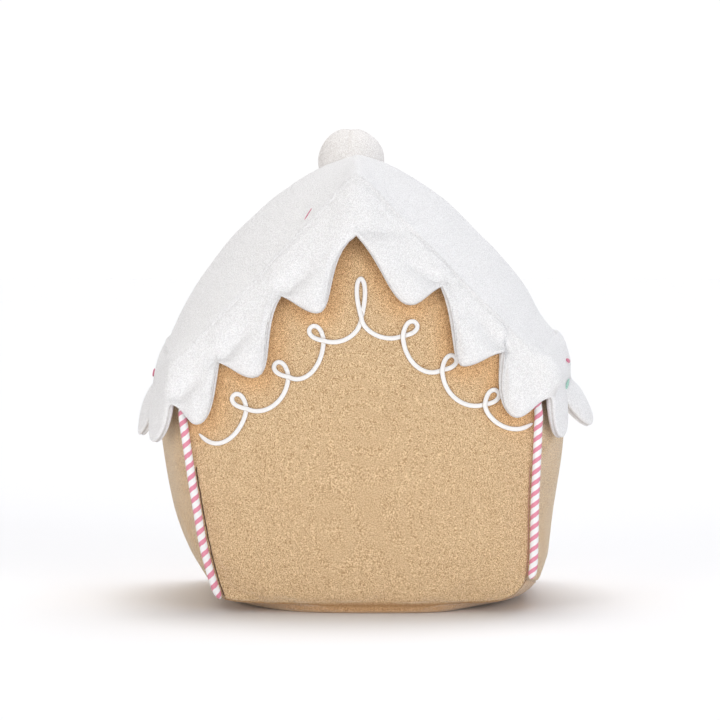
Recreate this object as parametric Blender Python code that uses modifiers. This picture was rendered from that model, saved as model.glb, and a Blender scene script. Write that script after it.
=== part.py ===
"""Plush gingerbread house: a stuffed block with striped piping under a padded icing roof.

Metres, +Z up. The front gable faces -Y, and the origin is on the floor at the middle of the
toy's box. Every stuffed panel is a pillow: it is sewn down along its seams and swells between
them, so each surface blends from its seam line to a crown by pillow().
"""

import math

import bmesh
import bpy
from mathutils import Vector

# Block: the seams that join the front and back panels to the walls
HALF_DEPTH = 0.062
SEAM_HALF_WIDTH = 0.0700
WALL_SPREAD = 0.0945
SPREAD_TOP_Z = 0.112
WALL_BULGE = 0.0178
BULGE_START_Z = 0.002
BULGE_REACH = 0.028
EAVE_TUCK = 0.79
PANEL_BULGE = 0.008
PILLOW_POWER = 2.4

# The toy leans: its base sits to the right of its top
LEAN_AT_BASE = 0.0062
LEAN_SHIFT = 0.0098
LEAN_REACH = 0.055

# Roof line: straight gables at the seams and a round crown halfway along the ridge
GABLE_EAVE_Z = 0.113
GABLE_APEX_Z = 0.196
CROWN_EAVE_Z = 0.121
CROWN_RISE = 0.0805
CROWN_SIDE_POWER = 1.25
CROWN_TOP_POWER = 1.6
RIDGE_PEAK = 0.002
RIDGE_WIDTH = 0.010

# Base: a seam just above the floor, and a panel that rolls under it to lie flat
BASE_SEAM_Z = 0.0045
BASE_ROLL = 0.16
BASE_ROUNDING = 3
CORNER_LIFT_LEFT = 0.002
CORNER_LIFT_RIGHT = 0.010
CORNER_POWER = 6

# Icing cover: its thickness, its clearance and the drips along its edge
COVER_THICKNESS = 0.0036
COVER_GAP = 0.0004
HIDDEN_GAP = 0.0012
FRONT_STANDOFF = 0.004
FLARE_LEFT = 0.0165
FLARE_RIGHT = 0.0190
FLARE_DROP = 0.044
FLARE_POWER = 0.65
CORNER_NOTCH_Z = 0.096
SIDE_NOTCH_Z = 0.0975
SIDE_TIP_Z = 0.078
SIDE_DRIPS = 4
# x and z of the drips' tips and of the notches between them, from left to right
FRONT_TIPS = (
    (-0.0750, 0.0851),
    (-0.0498, 0.1062),
    (-0.0209, 0.1351),
    (0.0205, 0.1387),
    (0.0443, 0.1113),
    (0.0681, 0.0882),
)
# How far each drip's steep side has come across by the time that it is two thirds down
FRONT_SLANTS = (0.25, 0.25, 0.52, 0.32, 0.25, 0.15)
SIDE_SLANT = 0.25
FRONT_NOTCHES = (
    (-0.0645, 0.1128),
    (-0.0367, 0.1425),
    (-0.0036, 0.1695),
    (0.0336, 0.1465),
    (0.0608, 0.1175),
)

# Pompom on the ridge
POMPOM_RADIUS = 0.0158
POMPOM_X = -0.0063
POMPOM_Z = 0.2042

# Striped piping along the upright seams
PIPING_RADIUS = 0.0022
PIPING_OFFSET = 0.0018
PIPING_BOTTOM_LEFT = 0.007
PIPING_BOTTOM_RIGHT = 0.0155
PIPING_TOP = 0.0855
PIPING_STEPS = 8

# Embroidered icing line: a flat satin cord that swags from loop to loop between two tails
THREAD_HALF_WIDTH = 0.00135
THREAD_THICKNESS = 0.0011
THREAD_LIFT = 0.0015
LIFT_FLAT = 0.0033
LIFT_REACH = 0.0060
LEFT_TAIL = (-0.0746, 0.0810)
LEFT_LOOPS = ((-0.0530, 0.0927), (-0.0341, 0.1071), (-0.0183, 0.1233))
CENTRE_LOOP = (-0.0014, 0.1336)
RIGHT_LOOPS = ((0.0172, 0.1254), (0.0348, 0.1101), (0.0540, 0.0945))
RIGHT_TAIL = (0.0740, 0.0850)
LOOP_REACH = (0.0058, 0.0058)
LOOP_WIDTH = 0.0031
CENTRE_LOOP_REACH = (-0.0003, 0.0173)
CENTRE_LOOP_WIDTH = 0.0034
LOOP_STEPS = 4
SWAG_STEPS = 5
SWAG_SAG = 0.0042
LEFT_TAIL_SAG = 0.0115
RIGHT_TAIL_SAG = 0.0070

TOUCH_GAP = 0.0003
MERGE = 0.00001

BODY_CELLS = (14, 10, 12)
SEAM_CROWDING = 0.7
POMPOM_CELLS = (18, 10)
COVER_COLUMNS_PER_DRIP = 3
COVER_ROWS = 12
EDGE_CUTS = 3
SKIRT_LEVELS = (0.10, 0.50, 1.0)

TAN = (0.665, 0.468, 0.270)
ICING = (0.86, 0.86, 0.88)
CREAM = (0.86, 0.84, 0.81)
PINK = (0.80, 0.25, 0.36)
THREAD = (0.88, 0.87, 0.85)


def mix(start, end, share):
    return start + (end - start) * share


def smoothstep(share):
    share = min(max(share, 0.0), 1.0)
    return share * share * (3.0 - 2.0 * share)


def pillow(share):
    """How far a panel has swollen, from 0 at both of its seams to 1 halfway."""
    return 1.0 - abs(2.0 * share - 1.0) ** PILLOW_POWER


def lean(z):
    return LEAN_AT_BASE - LEAN_SHIFT * (1.0 - math.exp(-z / LEAN_REACH))


def seam_half_width(z):
    return SEAM_HALF_WIDTH + WALL_SPREAD * min(z, SPREAD_TOP_Z)


def eave_z(v):
    return mix(GABLE_EAVE_Z, CROWN_EAVE_Z, pillow(v))


def wall_half_width(z, v):
    """Half the block's width at height z and depth share v."""
    rise = 1.0 - math.exp(-(z + BULGE_START_Z) / BULGE_REACH)
    tuck = 1.0 - EAVE_TUCK * (z / eave_z(v)) ** 6
    return seam_half_width(z) + WALL_BULGE * rise * tuck * pillow(v)


def roof_point(a, v):
    """The stuffed slope at a, from -1 at the left eave to 1 at the right one, and depth v."""
    side = math.copysign(1.0, a)
    angle = abs(a) * math.pi / 2.0
    seam_x = abs(a) * seam_half_width(GABLE_EAVE_Z)
    seam_z = mix(GABLE_APEX_Z, GABLE_EAVE_Z, abs(a))
    crown_x = wall_half_width(CROWN_EAVE_Z, 0.5) * math.sin(angle) ** CROWN_SIDE_POWER
    crown_z = CROWN_EAVE_Z + CROWN_RISE * max(math.cos(angle), 0.0) ** CROWN_TOP_POWER
    crown_z += RIDGE_PEAK * math.exp(-crown_x / RIDGE_WIDTH)
    swell = pillow(v)
    z = mix(seam_z, crown_z, swell)
    return Vector((side * mix(seam_x, crown_x, swell) + lean(z), mix(-HALF_DEPTH, HALF_DEPTH, v), z))


def roof_normal(a, v):
    step = 0.01
    across = roof_point(min(a + step, 1.0), v) - roof_point(max(a - step, -1.0), v)
    along = roof_point(a, min(v + step, 1.0)) - roof_point(a, max(v - step, 0.0))
    return across.cross(along).normalized()


def base_seam_z(a, v):
    lift = CORNER_LIFT_RIGHT if a > 0.0 else CORNER_LIFT_LEFT
    return BASE_SEAM_Z + lift * abs(a) ** CORNER_POWER * abs(2.0 * v - 1.0) ** CORNER_POWER


def base_point(a, v):
    """The base panel: it rolls down from its seam and lies flat on the floor inside a rounded outline."""
    z = base_seam_z(a, v)
    outline = (abs(a) ** BASE_ROUNDING + abs(2.0 * v - 1.0) ** BASE_ROUNDING) ** (1.0 / BASE_ROUNDING)
    inset = min(max((1.0 - outline) / BASE_ROLL, 0.0), 1.0)
    height = z * (1.0 - math.sqrt(1.0 - (1.0 - inset) ** 2))
    return Vector((a * wall_half_width(z, v) + lean(z), mix(-HALF_DEPTH, HALF_DEPTH, v), height))


def panel_bulge(x, z):
    """How far the front or back panel stands out of its seams at x and z."""
    a = min(max((x - lean(z)) / seam_half_width(z), -1.0), 1.0)
    top = mix(GABLE_APEX_Z, GABLE_EAVE_Z, abs(a))
    h = min(max((z - BASE_SEAM_Z) / (top - BASE_SEAM_Z), 0.0), 1.0)
    return PANEL_BULGE * pillow((a + 1.0) / 2.0) * pillow(h)


def body_point(place):
    """Where a point of the cube from -1 to 1 lies on the stuffed block."""
    a, v, h = place.x, (place.y + 1.0) / 2.0, (place.z + 1.0) / 2.0
    if place.z > 0.999:
        return roof_point(a, v) - roof_normal(a, v) * HIDDEN_GAP
    if place.z < -0.999:
        return base_point(a, v)
    if abs(a) > 0.999:
        z = mix(base_seam_z(a, v), eave_z(v), h)
        return Vector((a * wall_half_width(z, v) + lean(z), mix(-HALF_DEPTH, HALF_DEPTH, v), z))
    z = mix(base_seam_z(a, v), mix(GABLE_APEX_Z, GABLE_EAVE_Z, abs(a)), h)
    x = a * seam_half_width(z) + lean(z)
    return Vector((x, place.y * (HALF_DEPTH + panel_bulge(x, z)), z))


def bezier(points, t):
    """A point on the cubic curve through two ends with two handles."""
    start, out, into, end = (Vector(point) for point in points)
    s = 1.0 - t
    return start * s**3 + out * (3.0 * s * s * t) + into * (3.0 * s * t * t) + end * t**3


def drip_edge(inner, tip, outer, slant, t):
    """A drip's edge: steep from its inner notch, round at the tip, slanting to its outer notch."""
    if t < 0.5:
        down = (mix(inner[0], tip[0], slant), mix(inner[1], tip[1], 0.62))
        return bezier((inner, down, (mix(tip[0], inner[0], 0.35), tip[1]), tip), 2.0 * t)
    up = (mix(outer[0], tip[0], 0.35), mix(outer[1], tip[1], 0.35))
    return bezier((tip, (mix(tip[0], outer[0], 0.35), tip[1]), up, outer), 2.0 * t - 1.0)


def cover_side_x(side, v, z):
    """Half-width of the cover's inside below the eave: it flares like a skirt."""
    drop = max(eave_z(v) - z, 0.0)
    reach = FLARE_RIGHT if side > 0.0 else FLARE_LEFT
    flare = reach * pillow(v) * (drop / FLARE_DROP) ** FLARE_POWER
    return wall_half_width(eave_z(v), v) + COVER_GAP + flare


def corner_notch(side):
    return (side * cover_side_x(side, 0.0, CORNER_NOTCH_Z) + lean(CORNER_NOTCH_Z), CORNER_NOTCH_Z)


def front_notches():
    return (corner_notch(-1.0), *FRONT_NOTCHES, corner_notch(1.0))


def column_share(column):
    """The slope's a for a column, counted in drips from the left corner."""
    notches = front_notches()
    drip = min(int(column), len(FRONT_TIPS) - 1)
    reach = seam_half_width(GABLE_EAVE_Z)
    ends = [(x - lean(z)) / reach for x, z in notches[drip : drip + 2]]
    if drip == 0:
        ends[0] = -1.0
    if drip == len(FRONT_TIPS) - 1:
        ends[1] = 1.0
    return mix(ends[0], ends[1], column - drip)


def front_edge(column):
    """x and z of the scalloped edge of the front or back icing."""
    notches = front_notches()
    drip = min(int(column), len(FRONT_TIPS) - 1)
    left, tip, right = notches[drip], FRONT_TIPS[drip], notches[drip + 1]
    t = column - drip
    if tip[0] < 0.0:
        return drip_edge(right, tip, left, FRONT_SLANTS[drip], 1.0 - t)
    return drip_edge(left, tip, right, FRONT_SLANTS[drip], t)


def side_edge(v):
    """The depth share and the height of the scalloped edge along an eave."""
    drip = min(int(v * SIDE_DRIPS), SIDE_DRIPS - 1)
    first, last = drip / SIDE_DRIPS, (drip + 1) / SIDE_DRIPS
    start_z = CORNER_NOTCH_Z if drip == 0 else SIDE_NOTCH_Z
    end_z = CORNER_NOTCH_Z if drip == SIDE_DRIPS - 1 else SIDE_NOTCH_Z
    tip = ((first + last) / 2.0, SIDE_TIP_Z)
    return drip_edge((first, start_z), tip, (last, end_z), SIDE_SLANT, v * SIDE_DRIPS - drip)


def cover_point(place):
    """Where a point of the flat pattern lies: x and y over the slopes, z down the skirt."""
    a = column_share((place.x + 1.0) / 2.0 * len(FRONT_TIPS))
    v = (place.y + 1.0) / 2.0
    top = roof_point(a, v) + roof_normal(a, v) * COVER_GAP
    top.y *= 1.0 + COVER_GAP / HALF_DEPTH
    w = place.z
    if w == 0.0:
        return top
    reach = HALF_DEPTH + COVER_GAP + FRONT_STANDOFF * w**1.2
    if abs(place.y) > 0.999:
        edge = front_edge((place.x + 1.0) / 2.0 * len(FRONT_TIPS))
        x, z = mix(top.x, edge.x, w), mix(top.z, edge.y, w)
        return Vector((x, place.y * (reach + panel_bulge(x, z)), z))
    edge = side_edge(v)
    depth, z = mix(v, edge.x, w), mix(top.z, edge.y, w)
    x = place.x * cover_side_x(place.x, v, z) + lean(z)
    return Vector((x, mix(-reach, reach, depth), z))


def material(name, colour, roughness):
    made = bpy.data.materials.new(name)
    made.use_nodes = True
    shader = made.node_tree.nodes["Principled BSDF"]
    shader.inputs["Base Color"].default_value = (*colour, 1.0)
    shader.inputs["Roughness"].default_value = roughness
    shader.inputs["Metallic"].default_value = 0.0
    return made


def add_mesh(name, bm, finish, collection):
    """Turns a bmesh into a smooth object with one material."""
    mesh = bpy.data.meshes.new(name)
    bm.to_mesh(mesh)
    bm.free()
    mesh.materials.append(finish)
    mesh.shade_smooth()
    made = bpy.data.objects.new(name, mesh)
    collection.objects.link(made)
    return made


def subtract(target, cutter):
    cut = target.modifiers.new("Dimple", "BOOLEAN")
    cut.operation = "DIFFERENCE"
    cut.object = cutter


def build_body(finish, collection):
    """A cube cut into cells and swollen to the stuffed block."""
    bm = bmesh.new()
    bmesh.ops.create_cube(bm, size=2.0)
    for axis, cells in enumerate(BODY_CELLS):
        normal = Vector([float(axis == i) for i in range(3)])
        for cell in range(1, cells):
            place = mix(2.0 * cell / cells - 1.0, -math.cos(math.pi * cell / cells), SEAM_CROWDING)
            bmesh.ops.bisect_plane(
                bm,
                geom=bm.verts[:] + bm.edges[:] + bm.faces[:],
                plane_co=normal * place,
                plane_no=normal,
            )
    for vert in bm.verts:
        vert.co = body_point(vert.co)
    bmesh.ops.recalc_face_normals(bm, faces=bm.faces)
    return add_mesh("body", bm, finish, collection)


def build_cover(finish, collection):
    """A flat pattern with a skirt drawn down from its border, wrapped over the block."""
    bm = bmesh.new()
    columns = COVER_COLUMNS_PER_DRIP * len(FRONT_TIPS)
    bmesh.ops.create_grid(bm, x_segments=columns, y_segments=COVER_ROWS, size=1.0)
    border = [edge for edge in bm.edges if edge.is_boundary]
    bmesh.ops.bisect_edges(bm, edges=border, cuts=EDGE_CUTS)
    for level in SKIRT_LEVELS:
        border = [edge for edge in bm.edges if edge.is_boundary]
        made = bmesh.ops.extrude_edge_only(bm, edges=border)["geom"]
        for vert in made:
            if isinstance(vert, bmesh.types.BMVert):
                vert.co.z = level
    for vert in bm.verts:
        vert.co = cover_point(vert.co)
    bmesh.ops.recalc_face_normals(bm, faces=bm.faces)
    made = add_mesh("roof", bm, finish, collection)
    thick = made.modifiers.new("Thickness", "SOLIDIFY")
    thick.thickness = COVER_THICKNESS
    thick.offset = 1.0
    thick.use_even_offset = True
    return made


def build_pompom(finish, collection, cutters):
    """The pompom, and the slightly larger ball that presses its dimple into the ridge."""
    balls = []
    for name, radius, group in (
        ("pompom", POMPOM_RADIUS, collection),
        ("pompom_dimple", POMPOM_RADIUS + TOUCH_GAP, cutters),
    ):
        bm = bmesh.new()
        bmesh.ops.create_uvsphere(bm, u_segments=POMPOM_CELLS[0], v_segments=POMPOM_CELLS[1], radius=radius)
        ball = add_mesh(name, bm, finish, group)
        ball.location = (POMPOM_X, 0.0, POMPOM_Z)
        balls.append(ball)
    balls[1].hide_render = True
    balls[1].display_type = "WIRE"
    return balls


def tube_mesh(points, radius, resolution, collection):
    """A round closed tube through the points, welded at its caps."""
    curve = bpy.data.curves.new("guide", "CURVE")
    curve.dimensions = "3D"
    curve.bevel_depth = radius
    curve.bevel_resolution = resolution
    curve.use_fill_caps = True
    spline = curve.splines.new("POLY")
    spline.points.add(len(points) - 1)
    for point, place in zip(spline.points, points):
        point.co = (*place, 1.0)
    guide = bpy.data.objects.new("guide", curve)
    collection.objects.link(guide)
    bm = bmesh.new()
    swept = bpy.data.meshes.new_from_object(guide.evaluated_get(bpy.context.evaluated_depsgraph_get()))
    bm.from_mesh(swept)
    bpy.data.objects.remove(guide)
    bpy.data.meshes.remove(swept)
    bmesh.ops.remove_doubles(bm, verts=bm.verts, dist=MERGE)
    bmesh.ops.recalc_face_normals(bm, faces=bm.faces)
    return bm


def piping_points(side, end):
    bottom = PIPING_BOTTOM_RIGHT if side > 0.0 else PIPING_BOTTOM_LEFT
    y = end * (HALF_DEPTH + PIPING_OFFSET)
    heights = [mix(bottom, PIPING_TOP, step / PIPING_STEPS) for step in range(PIPING_STEPS + 1)]
    return [Vector((side * (seam_half_width(z) + PIPING_OFFSET) + lean(z), y, z)) for z in heights]


def loop_half(node, hand):
    """One side of a teardrop loop, from its crossing to its far end: hand 1 is its right side."""
    reach, width = Vector(LOOP_REACH), LOOP_WIDTH
    if node == CENTRE_LOOP:
        reach, width = Vector(CENTRE_LOOP_REACH), CENTRE_LOOP_WIDTH
    elif node in LEFT_LOOPS:
        reach.x = -reach.x
    beside = Vector((reach.y, -reach.x)).normalized() * width * hand
    half_turns = [math.pi * step / LOOP_STEPS / 2.0 for step in range(1, LOOP_STEPS + 1)]
    return [
        Vector(node) + reach * math.sin(turn) ** 2 + beside * math.sin(2.0 * turn) * math.sin(turn)
        for turn in half_turns
    ]


def swag(high, low, sag):
    """A swag that drops steeply from its inner, higher end and runs out level at its outer end."""
    across, drop = high[0] - low[0], high[1] - low[1]
    steep = (high[0] - 0.02 * across, high[1] - 0.75 * drop)
    level = (low[0] + 0.45 * across, low[1] - sag)
    return [bezier((high, steep, level, low), step / SWAG_STEPS) for step in range(SWAG_STEPS + 1)]


def thread_path():
    """The icing line from left to right as (x, z, lift): each loop closes over its own start."""
    stations = (LEFT_TAIL, *LEFT_LOOPS, CENTRE_LOOP, *RIGHT_LOOPS, RIGHT_TAIL)
    path = []
    for first, last in zip(stations, stations[1:]):
        sag = {LEFT_TAIL: LEFT_TAIL_SAG, RIGHT_LOOPS[-1]: RIGHT_TAIL_SAG}.get(first, SWAG_SAG)
        rising = last[1] > first[1]
        run = swag(last, first, sag)[::-1] if rising else swag(first, last, sag)
        if first != LEFT_TAIL:
            path += [(point, first) for point in loop_half(first, -1.0)[-2::-1]]
        path += [(point, first if first != LEFT_TAIL else None) for point in run[:-1]]
        if last != RIGHT_TAIL:
            path += [(point, None) for point in run[-1:] + loop_half(last, 1.0)]
        else:
            path.append((run[-1], None))
    return [(point.x, point.y, crossing_lift(point, crossed)) for point, crossed in path]


def crossing_lift(point, crossed):
    """How high the cord rides to pass over itself near the crossing that it comes back to."""
    if crossed is None:
        return 0.0
    away = (point - Vector(crossed)).length
    return THREAD_LIFT * (1.0 - smoothstep((away - LIFT_FLAT) / (LIFT_REACH - LIFT_FLAT)))


def build_embroidery(end_name, end, finish, collection):
    """A tube along the flat path, pressed thin and laid on the bulging panel."""
    thinning = THREAD_THICKNESS / (2.0 * THREAD_HALF_WIDTH)
    places = [Vector((x, lift / thinning, z)) for x, z, lift in thread_path()]
    bm = tube_mesh(places, THREAD_HALF_WIDTH, 1, collection)
    for vert in bm.verts:
        height = TOUCH_GAP + THREAD_THICKNESS / 2.0 + vert.co.y * thinning
        vert.co.y = end * (HALF_DEPTH + panel_bulge(vert.co.x, vert.co.z) + height)
    if end < 0.0:
        bmesh.ops.reverse_faces(bm, faces=bm.faces)
    return add_mesh(f"embroidery_{end_name}", bm, finish, collection)


def centre_on_floor(groups):
    """Moves everything so that the middle of the toy's box is over the origin."""
    view = bpy.context.evaluated_depsgraph_get()
    corners = []
    for made in groups[0].objects:
        solid = made.evaluated_get(view)
        corners += [solid.matrix_world @ Vector(corner) for corner in solid.bound_box]
    for axis in (0, 1):
        middle = (min(c[axis] for c in corners) + max(c[axis] for c in corners)) / 2.0
        for group in groups:
            for made in group.objects:
                made.location[axis] -= middle


def main():
    for old in list(bpy.data.objects):
        bpy.data.objects.remove(old)
    house = bpy.data.collections.new("plush_gingerbread_house")
    cutters = bpy.data.collections.new("cutters")
    for group in (house, cutters):
        bpy.context.scene.collection.children.link(group)
    tan = material("tan_fleece", TAN, 0.95)
    icing = material("icing_plush", ICING, 0.95)
    cream = material("pompom_plush", CREAM, 0.95)
    stripe = material("piping_stripe", PINK, 0.7)
    thread = material("icing_thread", THREAD, 0.6)
    body = build_body(tan, house)
    roof = build_cover(icing, house)
    dimple = build_pompom(cream, house, cutters)[1]
    subtract(body, dimple)
    subtract(roof, dimple)
    for end, end_name in ((-1.0, "front"), (1.0, "back")):
        for side, side_name in ((-1.0, "left"), (1.0, "right")):
            bm = tube_mesh(piping_points(side, end), PIPING_RADIUS, 2, house)
            add_mesh(f"piping_{end_name}_{side_name}", bm, stripe, house)
        build_embroidery(end_name, end, thread, house)
    centre_on_floor((house, cutters))


main()
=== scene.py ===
"""Looks of a plush gingerbread house: a stuffed fleece block under a padded icing cover.

Metres, +Z up, the front gable faces -Y. Each fabric piece starts as a flat pattern or a plain
primitive, and is mapped onto the stuffed form that the sewn sizes in HouseForm describe.
"""

import logging
import math
from bisect import bisect_right
from dataclasses import dataclass, replace
from enum import Enum
from typing import Callable, Iterable, Union

import bmesh
import bpy
from mathutils import Matrix, Vector, kdtree, noise
from mathutils.bvhtree import BVHTree


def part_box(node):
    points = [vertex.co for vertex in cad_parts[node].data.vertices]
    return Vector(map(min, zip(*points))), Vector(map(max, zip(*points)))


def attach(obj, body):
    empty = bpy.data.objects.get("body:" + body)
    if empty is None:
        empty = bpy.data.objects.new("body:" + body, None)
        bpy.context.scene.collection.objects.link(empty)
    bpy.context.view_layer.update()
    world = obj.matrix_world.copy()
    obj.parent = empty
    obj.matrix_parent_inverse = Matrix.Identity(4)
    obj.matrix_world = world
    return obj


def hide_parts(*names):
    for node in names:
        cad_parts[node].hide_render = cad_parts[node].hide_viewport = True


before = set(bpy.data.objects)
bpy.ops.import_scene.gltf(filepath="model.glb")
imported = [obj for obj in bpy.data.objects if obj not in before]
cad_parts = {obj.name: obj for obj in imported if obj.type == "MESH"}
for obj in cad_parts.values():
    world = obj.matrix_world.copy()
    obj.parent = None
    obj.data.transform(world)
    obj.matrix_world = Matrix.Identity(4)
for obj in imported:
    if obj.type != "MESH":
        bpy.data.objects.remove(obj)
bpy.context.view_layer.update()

LOG = logging.getLogger("gingerbread_house")
CHART = "cord"  # the UV map of a tube
ON_SEAM = 0.9999  # past this share of the way to a panel's edge, a point lies on the edge
WELD = 0.00001  # points closer than this are one

Colour = tuple[float, float, float]
Flat = tuple[float, float]
Sides = tuple[float, float]  # one value for the left and one for the right
Reach = tuple[float, float]  # where a smooth change starts and where it ends
Value = Union["Wire", float]
Material = bpy.types.Material
Piece = bpy.types.Object
Mesh = bmesh.types.BMesh
WHITE: Colour = (1.0, 1.0, 1.0)


# Plain maths


def mix(start: float, end: float, share: float) -> float:
    """Returns the value that lies at share of the way from start to end."""
    return start + (end - start) * share


def smoothstep(low: float, high: float, value: float) -> float:
    """Rises smoothly from 0 to 1.

    Args:
        low: Where the rise starts.
        high: Where it ends.
        value: Where it is read.

    Returns:
        The height of the rise, from 0 to 1.
    """
    share = min(max((value - low) / (high - low), 0.0), 1.0)
    return share * share * (3.0 - 2.0 * share)


def bell(distance: float, width: float) -> float:
    """Returns 1 at distance 0, falling away smoothly within about two widths."""
    return math.exp(-((distance / width) ** 2))


def crowd(place: float, share: float) -> float:
    """Returns a place from -1 to 1, drawn towards the nearer end by the share."""
    return mix(place, math.sin(place * math.pi / 2.0), share)


def rounded_end(share: float, steepness: float, least: float) -> float:
    """Returns how full a cord is near its end, from least to 1, along a quarter circle."""
    return math.sqrt(max(least, 1.0 - (1.0 - min(share * steepness, 1.0)) ** 2))


def bezier(points: Iterable[Flat], t: float) -> Vector:
    """Finds a point on a cubic curve.

    Args:
        points: The start, its handle, the end's handle and the end.
        t: How far along the curve, from 0 to 1.

    Returns:
        The point at t.
    """
    start, out, into, end = (Vector(point) for point in points)
    s = 1.0 - t
    return start * s**3 + out * (3.0 * s * s * t) + into * (3.0 * s * t * t) + end * t**3


def ripple(place: Vector, wavelength: float, seed: float = 0.0) -> float:
    """Smooth unevenness of cloth.

    Args:
        place: Where it is read, in metres.
        wavelength: The usual distance between two crests.
        seed: Moves to another stretch of the same unevenness.

    Returns:
        A value from about -1 to 1.
    """
    return noise.noise(place / wavelength + Vector((seed, -seed, 2.0 * seed)))


def flat_tree(points: list[Vector]) -> kdtree.KDTree:
    """Builds a search tree of flat points.

    Args:
        points: The points; only their first two coordinates count.

    Returns:
        The tree, balanced.
    """
    tree = kdtree.KDTree(len(points))
    for index, point in enumerate(points):
        tree.insert(Vector((point[0], point[1], 0.0)), index)
    tree.balance()
    return tree


def segment_distance(point: Vector, start: Vector, end: Vector) -> tuple[float, float]:
    """Measures how far a flat point lies from a straight fold.

    Args:
        point: The point, in the fold's plane.
        start: Where the fold begins.
        end: Where it ends.

    Returns:
        The distance to the fold, and the share of the way along it.
    """
    along = end - start
    share = min(max((point - start).dot(along) / along.length_squared, 0.0), 1.0)
    return (point - start - along * share).length, share


# Shader building


class Wire:
    """A shader socket on which Python's operators add Math nodes."""

    def __init__(self, graph: "Graph", socket: bpy.types.NodeSocket) -> None:
        """Wraps one output socket of the graph."""
        self.graph = graph
        self.socket = socket

    def _math(self, operation: str, *values: Value) -> "Wire":
        """Adds one Math node on the values and returns its result."""
        return self.graph.node("ShaderNodeMath", {"operation": operation}, dict(enumerate(values)))

    @staticmethod
    def _operator(operation: str, reflected: bool = False) -> Callable[["Wire", Value], "Wire"]:
        """Makes the method of one operator.

        Args:
            operation: The Math node's operation.
            reflected: Whether the number stands on the left.

        Returns:
            The method.
        """

        def method(self: "Wire", other: Value) -> "Wire":
            """Returns the result of the operator on both values."""
            return self._math(operation, *((other, self) if reflected else (self, other)))

        return method

    __add__ = _operator("ADD")
    __radd__ = _operator("ADD", reflected=True)
    __sub__ = _operator("SUBTRACT")
    __rsub__ = _operator("SUBTRACT", reflected=True)
    __mul__ = _operator("MULTIPLY")
    __rmul__ = _operator("MULTIPLY", reflected=True)
    __truediv__ = _operator("DIVIDE")

    def fraction(self) -> "Wire":
        """Returns the part after the decimal point."""
        return self._math("FRACT", self)

    def sine(self) -> "Wire":
        """Returns the sine of an angle in radians."""
        return self._math("SINE", self)

    def between(self, low: float, high: float) -> "Wire":
        """Returns 0 at low and 1 at high, held inside that range."""
        bounds = {"Value": self, "From Min": low, "From Max": high}
        return self.graph.node("ShaderNodeMapRange", {"clamp": True}, bounds)


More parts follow.
